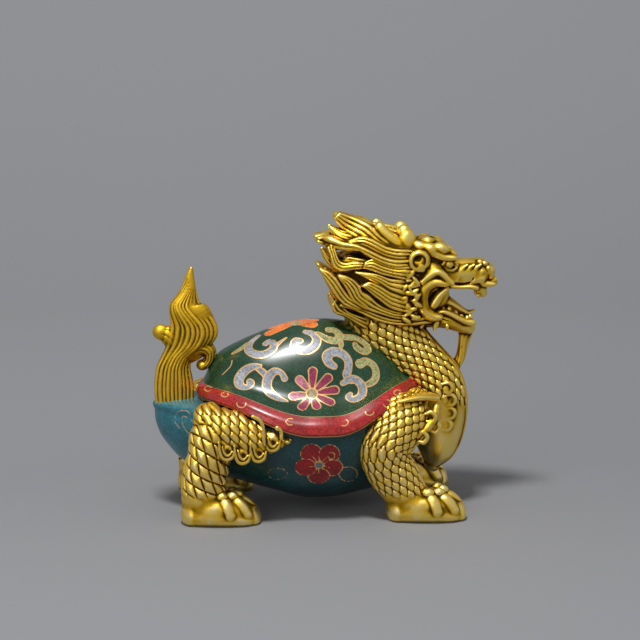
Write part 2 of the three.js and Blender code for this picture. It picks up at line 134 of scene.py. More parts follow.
def tube(field, stations, soft=0.8, relief=None, steps=5, hollow=False):
    """Stations x, y, z, half-thickness in the side view, half-width across it, joined by a smooth tube.

    The relief is raised from what it is told: the length along the tube, the turn round it (0 on the side to
    the left of its run, a quarter turn at -Y), the offset across it in the side view, and the place's X, Z."""
    line = curve_through(stations, steps)
    points = line[:, :3]
    sizes = np.maximum(line[:, 3:], THINNEST)
    tangents = np.gradient(points, axis=0)
    tangents /= np.linalg.norm(tangents, axis=1)[:, None]
    inner = np.stack([-tangents[:, 2], np.zeros(len(line)), tangents[:, 0]], axis=1)
    inner /= np.maximum(np.linalg.norm(inner, axis=1), 1e-6)[:, None]
    outer = np.cross(tangents, inner)
    reach = sizes.max() + TUBE_REACH
    part, X, Y, Z = field.window(points.min(0) - reach, points.max(0) + reach)
    shape = (X.size, Y.size, Z.size)
    if min(shape) == 0:
        return
    nearest = np.full(shape, UNTOUCHED, np.float32)
    along, u, v, w, a, b = (np.ones(shape, np.float32) for _ in range(6))
    walked = 0.0
    for i in range(len(points) - 1):
        start, stop = points[i], points[i + 1]
        step = stop - start
        length = float(np.linalg.norm(step))
        margin = sizes[i:i + 2].max() + TUBE_REACH
        low, high = np.minimum(start, stop) - margin, np.maximum(start, stop) + margin
        sub = tuple(slice(*np.searchsorted(axis.ravel(), (p, q)))
                    for axis, p, q in zip((X, Y, Z), low, high))
        x = X[sub[0]] - start[0]
        y = Y[:, sub[1]] - start[1]
        z = Z[:, :, sub[2]] - start[2]
        h = np.clip((x * step[0] + y * step[1] + z * step[2]) / length ** 2, 0, 1).astype(np.float32)
        if h.size == 0:
            walked += length
            continue
        x, y, z = x - h * step[0], y - h * step[1], z - h * step[2]
        gap = x * x + y * y + z * z
        better = gap < nearest[sub]

        def across(axes):
            p, q = axes[i], axes[i + 1] - axes[i]
            return (x * p[0] + y * p[1] + z * p[2]) + h * (x * q[0] + y * q[1] + z * q[2])

        for store, value in ((nearest, gap), (along, walked + h * length), (u, across(inner)),
                             (v, across(outer)), (w, across(tangents)),
                             (a, sizes[i, 0] + h * (sizes[i + 1, 0] - sizes[i, 0])),
                             (b, sizes[i, 1] + h * (sizes[i + 1, 1] - sizes[i, 1]))):
            np.copyto(store[sub], value.astype(np.float32), where=better)
        walked += length
    distance = ellipsoid_distance(u, v, w, a, b, np.minimum(a, b))
    if relief:
        told = SimpleNamespace(along=along, turn=np.arctan2(v / b, u / a), u=u / a, X=X, Z=Z)
        distance = distance - relief(told)
    distance = np.where(nearest < UNTOUCHED, distance, FAR).astype(np.float32)
    field.put(part, distance, soft, hollow)


# Reliefs.

def hair(count, depth, sway=0.0):
    """Ridges that run along a lock."""
    def relief(at):
        ridge = np.abs(np.cos(math.pi * count * (at.u + 1 + sway * np.sin(at.along / 3)) / 2))
        fade = smoothstep(at.along / 1.5)
        return depth * fade * (np.sqrt(ridge) - 0.75)
    return relief


def tiles(column, run, depth):
    """Rounded scales laid like roof tiles, from a column number and twice the row number at each point."""
    row = np.floor(run)

    def scale_of(row):
        """Share of the length from the root, and how far inside the rounded outline."""
        share = (run - row) / 2
        shifted = column - 0.5 * np.mod(row, 2)
        aside = np.abs(shifted - np.round(shifted))
        half = 0.5 * np.sqrt(np.clip(1 - (2 * np.maximum(share, 0.5) - 1) ** 2, 0, 1))
        return share, half - aside
    under_share, _ = scale_of(row)
    over_share, inside = scale_of(row - 1)
    over = (0.3 + 0.7 * over_share) * (0.5 * smoothstep(inside / 0.12) + 0.5 * smoothstep(inside / 0.5))
    under = (0.3 + 0.7 * under_share) * smoothstep(0.15 - inside / 0.2)
    return depth * (np.maximum(over, under) - 0.45)


def scales(count, length, depth, where, downstream=1, longer=None):
    """So many scales round the tube, each so long along it, and of another length from some way on."""
    def relief(at):
        if longer:
            start, other = longer
            run = np.minimum(at.along, start) / length + np.maximum(at.along - start, 0) / other
        else:
            run = at.along / length
        return tiles(at.turn * count / (2 * math.pi), 2 * downstream * run, depth) * where(at)
    return relief


def hanging_scales(width, length, depth, lean):
    """Scales that hang down, in columns that lean in the side view."""
    def relief(at):
        return tiles((at.X + lean * at.Z) / width, -2 * at.Z / length, depth)
    return relief


def plates(count, length, depth, slant, tilt, where):
    """Domed plates between grooves round the tube and grooves that wind along it."""
    def relief(at):
        round_share = at.turn * count / (2 * math.pi)
        row = at.along / length
        p = row + tilt * round_share
        q = round_share + slant * row
        p, q = p - np.floor(p), q - np.floor(q)
        edge = np.minimum(np.minimum(p, 1 - p), np.minimum(q, 1 - q))
        raised = depth * (0.5 * smoothstep(edge / 0.14) + 0.5 * smoothstep(edge / 0.45) + 0.3 * p - 0.65)
        return raised * where(at)
    return relief


# Gilt castings.

# Edge of a grid cell in millimetres, and the most triangles of each casting.
LEG_VOXEL, LEG_TRIANGLES = 0.26, 84000
TAIL_VOXEL, TAIL_TRIANGLES = 0.22, 110000
HEAD_VOXEL, HEAD_TRIANGLES = 0.25, 195000
# Recesses: rounds of smoothing that give a point's surroundings, and the depth in metres that counts in full.
FINE_ROUNDS, FINE_REACH = 4, 0.00010
BROAD_ROUNDS, BROAD_REACH = 18, 0.00045


def added(name, data):
    obj = bpy.data.objects.new(name, data)
    bpy.context.collection.objects.link(obj)
    return obj


def mesh_of(name, field, most_triangles):
    """The surface of a field as an object in the frame, with the share of recess kept for its finish."""
    values = field.values
    if field.mirrored:
        values = np.concatenate([values, values[:, -2::-1, :]], axis=1)
    voxel = field.voxel
    grid = openvdb.FloatGrid(3 * voxel)
    grid.copyFromArray(np.clip(values, -3 * voxel, 3 * voxel))
    points, quads = grid.convertToQuads(isovalue=0.0)
    points = points * voxel + field.low
    obj = added(name, mesh_from(name, points, quads))
    triangles = 2 * len(quads)
    if triangles > most_triangles:
        thin = obj.modifiers.new("thin", "DECIMATE")
        thin.ratio = most_triangles / triangles
        apply_modifiers(obj)
    relax(obj.data)
    mark_recesses(obj.data)
    smooth_shaded(obj.data)
    return obj


def mesh_from(name, points, faces):
    mesh = bpy.data.meshes.new(name)
    size = faces.shape[1]
    mesh.vertices.add(len(points))
    mesh.vertices.foreach_set("co", in_frame(points).astype(np.float32).ravel())
    mesh.loops.add(faces.size)
    mesh.loops.foreach_set("vertex_index", faces.astype(np.int32).ravel())
    mesh.polygons.add(len(faces))
    mesh.polygons.foreach_set("loop_start", np.arange(0, faces.size, size, dtype=np.int32))
    mesh.update(calc_edges=True)
    mesh.validate()
    return mesh


def in_frame(points):
    return (np.asarray(points) + np.array([CENTRE_SHIFT, 0, 0])) * MM


def apply_modifiers(obj):
    bpy.context.view_layer.update()
    shaped = bpy.data.meshes.new_from_object(obj.evaluated_get(bpy.context.evaluated_depsgraph_get()))
    old = obj.data
    obj.modifiers.clear()
    obj.data = shaped
    bpy.data.meshes.remove(old)


def smooth_shaded(mesh):
    mesh.polygons.foreach_set("use_smooth", np.ones(len(mesh.polygons), bool))


def positions(mesh):
    co = np.empty(3 * len(mesh.vertices), np.float32)
    mesh.vertices.foreach_get("co", co)
    return co.reshape(-1, 3)


def neighbour_mean(mesh, values, rounds):
    ends = np.empty(2 * len(mesh.edges), np.int32)
    mesh.edges.foreach_get("vertices", ends)
    a, b = ends.reshape(-1, 2).T
    count = np.bincount(a, minlength=len(values)) + np.bincount(b, minlength=len(values)) + 1.0
    for _ in range(rounds):
        columns = []
        for column in values.T:
            total = column + np.bincount(a, column[b], len(values)) + np.bincount(b, column[a], len(values))
            columns.append(total / count)
        values = np.stack(columns, axis=1)
    return values


def relax(mesh):
    smoothed = neighbour_mean(mesh, positions(mesh), 1)
    mesh.vertices.foreach_set("co", smoothed.astype(np.float32).ravel())
    mesh.update()


def mark_recesses(mesh):
    """Stores how far each point lies under (1) or over (0) its surroundings, at a fine and a broad reach."""
    co = positions(mesh)
    normals = np.empty(3 * len(mesh.vertices), np.float32)
    mesh.vertex_normals.foreach_get("vector", normals)
    normals = normals.reshape(-1, 3)
    fine = neighbour_mean(mesh, co, FINE_ROUNDS)
    broad = neighbour_mean(mesh, fine, BROAD_ROUNDS)
    for name, mean, reach in (("fine_recess", fine, FINE_REACH), ("broad_recess", broad, BROAD_REACH)):
        depth = ((mean - co) * normals).sum(axis=1)
        shared = mesh.attributes.new(name, "FLOAT", "POINT")
        shared.data.foreach_set("value", np.clip(0.5 + depth / (2 * reach), 0, 1).astype(np.float32))


def mirrored_copy(obj, name):
    mesh = obj.data.copy()
    co = positions(mesh)
    co[:, 1] *= -1
    mesh.vertices.foreach_set("co", co.ravel())
    mesh.flip_normals()
    mesh.update()
    return added(name, mesh)


def place(obj, node, material):
    obj.data.materials.clear()
    obj.data.materials.append(material)
    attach(obj, "root")
    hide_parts(node)


# Legs. They are shaped on the near side, -Y.

FOOT_Y = -23.6
# The smooth puffed foot and the slab of a sole: the share of the way from heel to tip, the height, half the
# thickness and half the width.
FOOT_FORMS = [
    [(0.17, 4.4, 4.4, 5.8), (0.36, 5.4, 5.4, 7.6), (0.58, 5.2, 5.4, 7.8), (0.76, 4.0, 4.6, 7.0),
     (0.88, 3.2, 3.4, 5.6)],
    [(0.15, 2.8, 4.0, 6.2), (0.38, 3.0, 4.2, 7.8), (0.62, 2.6, 4.0, 8.1), (0.82, 2.0, 3.3, 7.4),
     (0.92, 1.6, 2.6, 5.6)],
]
# Toes fan out from within the foot: the angle of each from straight ahead, and how far it reaches.
TOES = [(-40, 0.64), (-21, 0.90), (0, 1.0), (21, 0.92)]
# Along each toe: the share of its reach, the height and the radius.
TOE_RUN = [(0.66, 7.4, 2.0), (0.78, 7.6, 2.3), (0.90, 6.0, 2.4), (1.0, 4.0, 2.2)]
# Open folds along the lower edge of the thigh's cuff, with the place of each mouth in the side view.
CUFF_FOLDS = [(-18.2, 26.4), (-22.9, 22.8), (-28.2, 22.2), (-33.4, 23.6)]


def foot(field, heel_x, tip_x):
    """A puffed foot with short thick toes in front, and a knuckle and a claw on each."""
    for form in FOOT_FORMS:
        tube(field, [[heel_x + share * (tip_x - heel_x), FOOT_Y, *rest] for share, *rest in form], soft=1.2)
    root = np.array([heel_x + 0.32 * (tip_x - heel_x), FOOT_Y, 0.0])
    ahead = tip_x - 2.2 - root[0]
    for angle, reach in TOES:
        way = np.array([math.cos(math.radians(angle)), math.sin(math.radians(angle)), 0.0]) * ahead * reach
        tube(field, [[*(root + share * way)[:2], z, r, r] for share, z, r in TOE_RUN], soft=0.25, steps=4)
        ball(field, root + 0.66 * way + np.array([0, 0, 9.8]), [2.2, 2.0, 1.9], soft=0.25)
        ball(field, root + 1.03 * way + np.array([0, 0, 3.0]), [1.7, 1.3, 1.3], soft=0.3)


def front_leg():
    field = Field([6, -35.5, -1], [52, -10, 47], LEG_VOXEL)
    leg_scales = scales(16, 3.9, 0.95, where=lambda at: smoothstep((at.Z - 8.5) / 2.5), longer=(17, 5.6))
    tube(field, [[31.5, -17.0, 40.0, 4.0, 4.0], [28.6, -20.0, 36.4, 8.6, 7.4], [24.2, -23.0, 31.0, 8.8, 7.6],
                 [20.2, -24.4, 25.4, 8.6, 7.0], [21.0, -24.2, 19.6, 8.2, 6.6], [24.4, -23.8, 14.0, 8.0, 6.6],
                 [28.0, -23.6, 8.0, 7.0, 6.8]], relief=leg_scales, steps=7)
    foot(field, 20.6, 47.6)
    # Flap over the shoulder, the skin fold under it, and hooked curls in front.
    tube(field, [[37.0, -20.6, 41.6, 1.4, 3.0], [32.4, -23.8, 42.4, 1.3, 2.6], [28.0, -26.4, 42.2, 0.9, 1.6],
                 [23.6, -28.4, 41.6, 0.4, 0.5]], soft=0.8)
    tube(field, [[37.6, -22.0, 38.4, 1.4, 1.8], [36.8, -23.4, 35.2, 1.6, 2.0], [34.0, -25.6, 32.0, 1.5, 1.8],
                 [30.6, -27.0, 29.6, 1.0, 1.2]], soft=0.4)
    for x, y, z in ((37.0, -23.8, 31.6), (32.4, -27.2, 28.9), (35.4, -25.6, 35.4)):
        side_tube(field, y, [[x - 2.0, z + 1.3, 0.5], [x + 0.2, z + 2.0, 0.8], [x + 1.6, z + 0.3, 0.9],
                             [x + 0.5, z - 1.5, 0.85], [x - 1.2, z - 1.1, 0.5]], soft=0.2)
    return finish_leg(field, "front_right_leg_cast")


def rear_leg():
    field = Field([-52, -35.5, -1], [-8, -10, 42], LEG_VOXEL)
    shank = plates(12, 3.9, 1.0, slant=0.5, tilt=0.3, where=lambda at: smoothstep((at.Z - 9.5) / 2.5))
    tube(field, [[-39.0, -21.0, 36.0, 4.8, 5.0], [-38.4, -23.2, 31.0, 7.2, 7.2],
                 [-39.2, -24.2, 24.0, 7.0, 7.0],
                 [-40.6, -24.0, 17.0, 7.4, 6.6], [-41.6, -23.6, 9.0, 7.2, 6.8]], relief=shank, steps=8)
    tube(field, [[-39.2, -21.6, 35.2, 5.6, 6.2], [-34.0, -24.4, 32.0, 7.6, 6.6],
                 [-27.0, -26.6, 29.8, 6.6, 4.6],
                 [-20.0, -28.0, 28.6, 4.2, 3.2], [-12.6, -28.8, 29.2, 0.8, 1.4]],
         relief=hanging_scales(3.1, 5.8, 0.95, 0.5), steps=7, soft=0.3)
    foot(field, -49.0, -22.4)
    # The thigh's cuff ends in open folds, like the mouths of small tubes side by side.
    for x, z in CUFF_FOLDS:
        ball(field, [x, -28.8, z + 2.6], [2.7, 2.6, 3.4], soft=0.5)
        ball(field, [x + 0.4, -32.2, z + 2.6], [1.2, 1.5, 1.9], soft=0.5, tilt=35, hollow=True)
        side_tube(field, -30.2, [[x - 2.9, z + 6.0, 0.4], [x - 2.6, z + 3.0, 0.7], [x - 1.6, z + 0.6, 0.8],
                                 [x, z, 0.85],
                                 [x + 1.7, z + 0.9, 0.8], [x + 2.4, z + 3.2, 0.5]], 1.2, soft=0.2)
        side_tube(field, -30.8, [[x - 1.7, z + 4.4, 0.3], [x - 1.1, z + 2.2, 0.4], [x + 0.2, z + 1.3, 0.45],
                                 [x + 1.5, z + 2.6, 0.3]], 0.7, soft=0.2)
    # Runs of solder from the rim of the shell.
    side_tube(field, -31.8, [[-25.0, 38.4, 0.6], [-22.6, 37.0, 0.7], [-21.5, 34.6, 0.6], [-21.4, 31.4, 0.7],
                             [-21.0, 28.4, 0.4]], soft=0.3)
    side_tube(field, -31.2, [[-16.8, 34.2, 0.8], [-15.4, 33.0, 0.6], [-15.4, 30.6, 0.7]], soft=0.3)
    return finish_leg(field, "rear_right_leg_cast")


def finish_leg(field, name):
    """Cuts the sole flat on the ground."""
    part, X, Y, Z = field.window([-99, -99, -9], [99, 99, 9])
    field.values[part] = np.maximum(field.values[part], -Z)
    return mesh_of(name, field, LEG_TRIANGLES)


# Tail: a flame of twisted locks.

# The flame in the side view from its foot to its tip: the rear edge's x and z, the front edge's x and z, half
# its thickness, and how far its strands sway off their straight run.
TAIL_STATIONS = [
    [-57.0, 37.4, -43.9, 37.4, 4.9, 0.00], [-57.3, 42.0, -43.8, 42.0, 4.8, 0.00],
    [-57.0, 46.4, -44.4, 46.0, 4.7, 0.02],
    [-56.2, 50.0, -45.0, 49.6, 4.5, 0.04], [-54.4, 53.6, -43.6, 53.4, 4.4, 0.06],
    [-53.0, 57.0, -38.6, 57.0, 4.6, 0.07],
    [-52.0, 61.0, -35.8, 60.6, 4.6, 0.05], [-51.4, 64.6, -35.8, 64.0, 4.3, 0.00],
    [-51.5, 68.2, -37.4, 66.8, 3.9, -0.12],
    [-51.0, 71.4, -40.2, 69.8, 3.2, -0.20], [-48.8, 74.6, -41.9, 73.4, 2.3, -0.12],
    [-47.0, 78.6, -43.0, 77.6, 1.5, 0.14],
    [-45.6, 82.0, -43.4, 80.8, 0.9, 0.05], [-44.4, 84.0, -43.8, 83.6, 0.5, 0.00],
]
TAIL_STRANDS = 10


def tail():
    field = Field([-60, -9, 35], [-32, 0, 86], TAIL_VOXEL, mirrored=True)
    rear_x, rear_z, front_x, front_z, thick, sway = curve_through(TAIL_STATIONS, 2).T
    rear, front = np.stack([rear_x, rear_z], axis=1), np.stack([front_x, front_z], axis=1)
    width = np.linalg.norm(front - rear, axis=1)
    middle = (rear + front) / 2
    tube(field, [[x, 0, z, max(0.47 * w, 0.3), t] for (x, z), w, t in zip(middle, width, thick)], steps=2)
    # Strands that wind up the flame on each face.
    for number in range(TAIL_STRANDS):
        even = (number + 0.5) / TAIL_STRANDS
        across = even + 4 * even * (1 - even) * sway
        line = rear + (front - rear) * across[:, None]
        curved = np.sqrt(np.clip(1 - (1.9 * even - 0.95) ** 2, 0.02, 1))
        half = np.maximum((0.54 + 0.1 * math.sin(2.3 * number)) * width / TAIL_STRANDS, 0.3)
        tube(field, [[x, -y, z, r, max(r, 0.7)] for (x, z), y, r in zip(line, thick * curved - 0.35, half)],
             soft=0.1, steps=2)
    # Knob curled out behind, and the hook curled down in front over a small opening.
    tube(field, [[-49.0, 0, 57.4, 3.4, 3.4], [-52.4, 0, 60.4, 3.2, 2.9], [-53.8, 0, 61.1, 2.6, 2.5]],
         relief=hair(3, 0.3), soft=0.6)
    ball(field, [-54.9, 0, 61.6], [2.8, 2.6, 2.7], soft=0.4)
    tube(field, [[-44.4, 0, 55.6, 3.2, 4.2], [-41.0, 0, 56.4, 3.0, 4.0], [-38.4, 0, 54.9, 2.4, 3.6],
                 [-38.2, 0, 52.2, 2.0, 3.2], [-39.4, 0, 50.2, 1.7, 2.8]],
         relief=hair(4, 0.45), soft=0.4)
    ball(field, [-40.7, 0, 49.9], [2.1, 3.0, 1.9], soft=0.3)
    return mesh_of("tail_cast", field, TAIL_TRIANGLES)


# Head, mane and neck.

NECK = [[39.0, 0, 13.8, 2.6, 6.0], [40.2, 0, 18.5, 6.4, 9.5], [41.4, 0, 24.5, 8.3, 11.0],
        [42.0, 0, 31.0, 9.2, 11.5], [41.6, 0, 37.5, 9.6, 11.5], [39.5, 0, 43.5, 9.8, 11.0],
        [35.5, 0, 48.8, 9.4, 10.5], [30.0, 0, 54.0, 10.2, 10.0], [25.0, 0, 59.5, 11.0, 9.8],
        [21.5, 0, 66.0, 12.5, 9.8], [20.0, 0, 73.0, 12.0, 9.5]]

# Locks of the mane in the side view: how far out, then the upper and the lower edge from root to tip.
MANE_LOCKS = [
    (-2.5, [[24.3, 91.5], [19.9, 94.9], [16.6, 98.2], [11.8, 100.5], [6.5, 102.4]],
     [[23.3, 89.5], [17.5, 91.5], [12.7, 94.2], [8.4, 96.4], [4.6, 100.6]]),
    (-1.0, [[13.2, 67.6], [9.3, 69.1], [6.9, 71.6], [5.0, 73.8]],
     [[12.2, 65.2], [7.4, 68.2], [4.5, 69.0], [3.5, 71.7]]),
    (-1.5, [[14.9, 87.2], [12.0, 87.7], [9.1, 88.2], [8.2, 87.7]],
     [[15.3, 86.2], [12.0, 86.5], [9.6, 86.7], [8.2, 87.3]]),
    (0.1, [[29.0, 84.9], [25.1, 84.7], [20.8, 86.0], [17.0, 87.5], [14.6, 86.6]],
     [[28.0, 80.7], [23.7, 81.7], [19.9, 82.7], [17.0, 83.9], [14.1, 84.7]]),
    (-0.3, [[27.6, 80.3], [23.3, 80.6], [19.9, 81.9], [17.1, 82.6], [11.3, 83.2]],
     [[27.2, 73.8], [22.8, 76.1], [19.5, 78.8], [16.1, 80.7], [12.3, 82.7]]),
    (0.0, [[14.2, 86.3], [11.3, 86.6], [8.0, 86.1], [5.8, 87.1], [4.7, 90.0], [4.2, 92.4]],
     [[14.7, 84.6], [10.4, 84.2], [6.1, 83.7], [3.8, 85.7], [3.0, 88.6], [2.0, 91.0]]),
    (-0.5, [[28.6, 90.4], [24.8, 90.7], [21.0, 91.8], [17.1, 93.9], [13.3, 94.9], [9.5, 93.5]],
     [[28.6, 87.6], [25.3, 87.7], [21.4, 88.7], [17.1, 90.8], [13.3, 92.4], [9.0, 92.4]]),
    (0.4, [[29.1, 87.2], [24.8, 87.2], [20.5, 88.3], [16.2, 90.4], [11.4, 92.3], [6.6, 93.1], [2.3, 94.9],
              [-1.0, 94.7]],
     [[29.1, 85.0], [24.8, 85.0], [20.5, 86.3], [16.2, 88.3], [12.8, 90.6], [8.1, 90.7], [3.8, 91.3],
      [-1.2, 92.7]]),
    (0.3, [[17.1, 73.1], [13.7, 75.8], [12.5, 78.4], [10.6, 80.4], [8.4, 81.6], [5.8, 82.3]],
     [[14.2, 70.7], [10.8, 73.2], [9.2, 75.8], [8.0, 78.0], [6.8, 79.7], [6.0, 80.9]]),
    (0.5, [[12.4, 72.0], [9.0, 74.7], [6.6, 77.9], [4.7, 80.8], [2.1, 83.2], [-0.5, 84.3]],
     [[11.4, 70.6], [7.6, 72.1], [4.9, 75.0], [3.0, 77.9], [1.1, 80.8], [-0.6, 83.5]]),
    (0.0, [[28.6, 69.0], [24.8, 69.5], [20.9, 71.0], [18.1, 73.0], [16.1, 74.9], [13.7, 76.4]],
     [[28.7, 67.0], [24.8, 67.3], [20.5, 68.6], [16.2, 70.1], [13.3, 71.6], [10.9, 73.1]]),
    (0.6, [[27.1, 74.4], [23.2, 75.9], [20.4, 77.7], [17.5, 79.2], [15.6, 79.7], [13.7, 78.7]],
     [[27.6, 69.6], [23.3, 71.1], [19.9, 73.6], [17.0, 75.8], [15.1, 77.5], [13.8, 78.5]]),
    (-0.4, [[34.1, 66.9], [28.8, 66.5], [24.0, 66.8], [19.7, 68.1], [15.3, 69.9], [11.5, 71.1], [6.7, 72.3]],
     [[34.1, 64.7], [28.8, 64.6], [23.5, 65.1], [19.2, 66.2], [14.9, 68.2], [10.5, 70.4], [6.2, 71.4]]),
]
# Locks down the back of the head, which the photograph doesn't show: stations as for a tube.
NAPE_LOCKS = [
    [[22.0, 4.0, 93.0, 3.0, 3.0], [14.0, 4.2, 93.0, 2.6, 2.6], [7.0, 3.6, 94.6, 2.0, 2.2],
     [3.4, 2.4, 97.4, 0.7, 0.7]],
    [[18.0, 5.5, 84.0, 4.0, 4.0], [9.0, 5.4, 84.4, 3.4, 3.2], [3.4, 3.8, 86.6, 2.0, 2.0],
     [0.8, 2.6, 89.6, 0.7, 0.7]],
    [[16.0, 3.0, 77.0, 4.0, 3.4], [8.0, 3.0, 76.6, 3.0, 2.8], [3.6, 2.4, 79.6, 1.8, 1.8],
     [2.0, 1.6, 82.6, 0.6, 0.6]],
    [[16.0, 6.0, 73.0, 3.4, 3.4], [9.0, 5.6, 70.4, 2.6, 2.6], [5.4, 4.0, 71.0, 1.8, 2.0],
     [3.6, 2.8, 73.6, 0.7, 0.7]],
]


def near(stations):
    """The same stations on the near side, -Y."""
    return [[x, -y, z, p, q] for x, y, z, p, q in stations]


def side_tube(field, y, stations, deep=None, **options):
    """A tube drawn in the side view at one depth: x, z and half-thickness; as wide across, or so deep."""
    tube(field, [[x, y, z, r, deep or r] for x, z, r in stations], **options)


def mane_depth(x, z):
    """How far out the mane stands at a place in the side view."""
    return 6.2 + 5.8 * math.sqrt(max(0.0, 1 - ((x - 24) / 30) ** 2 - ((z - 79) / 22) ** 2))


# Width of one strand of a lock.
STRAND = 1.05


def lock(field, out, upper, lower):
    """A flat lock of parallel strands between two edges, over a body that fills up to its neighbours."""
    upper, lower = (curve_through([2 * np.array(edge[0]) - edge[1], *edge], 2) for edge in (upper, lower))
    spare = 0.07 * (upper - lower)
    upper, lower = upper + spare, lower - spare
    middle = (upper + lower) / 2
    width = np.linalg.norm(upper - lower, axis=1)
    rise = np.linspace(0, 1, len(width))
    sunk = 2.6 * np.clip(1 - rise / 0.3, 0, 1) ** 2
    depth = [mane_depth(x, z) + out - below for (x, z), below in zip(middle, sunk)]
    filling = [[x, 3.0 - y, z, max(w * (0.9 - 0.45 * t), 0.7), 2.5]
               for (x, z), y, w, t in zip(middle, depth, width, rise)]
    tube(field, filling, soft=0.5, steps=2)
    strands = max(2, round(np.sort(width)[len(width) // 2] / STRAND))
    for number in range(strands):
        across = (number + 0.5) / strands
        drop = 0.5 * (2 * across - 1) ** 2
        line = upper + (lower - upper) * across
        half = np.maximum(0.53 * width / strands, 0.45)
        run = [[x, 0.6 + drop - y, z, r, 1.15] for (x, z), y, r in zip(line, depth, half)]
        tube(field, run, soft=0.06, steps=2)


def spiral(field, centre, first, last, turns, thick, start=0.0, soft=0.3):
    """A flat coil in the side view that winds in from one radius to another."""
    x, y, z = centre
    rows = []
    for share in np.linspace(0, 1, max(6, int(9 * abs(turns)))):
        angle = math.radians(start) + 2 * math.pi * turns * share
        radius = first + (last - first) * share
        rows.append([x + radius * math.cos(angle), y, z + radius * math.sin(angle),
                     thick * (1 - 0.25 * share),
                     1.2 * thick])
    tube(field, rows, soft=soft, steps=3)


def mane(field):
    ball(field, [21.5, 0, 79.5], [16.2, 11.0, 14.4])
    ball(field, [12.0, 0, 80.0], [8.0, 9.4, 9.4])
    tube(field, [[33.0, 0, 91.5, 2.2, 2.4], [24.0, 0, 95.0, 3.0, 3.2], [14.0, 0, 96.2, 3.0, 3.0],
                 [6.5, 0, 99.5, 0.9, 0.9]], relief=hair(4, 0.5), soft=0.5)
    for stations in NAPE_LOCKS:
        tube(field, near(stations), relief=hair(4, 0.5), soft=0.4)
    for out, upper, lower in MANE_LOCKS:
        lock(field, out, upper, lower)
    # Rough tufts of whisker where the mane meets the cheek.
    chance = np.random.RandomState(5)
    for z in np.arange(66.5, 83.6, 0.62):
        x = 30.2 + chance.uniform(-2.6, 2.2)
        size = chance.uniform(0.8, 1.25)
        ball(field, [x, -10.9, z], [1.7 * size, 1.3, 0.75 * size], soft=0.35, tilt=chance.uniform(-60, 60))


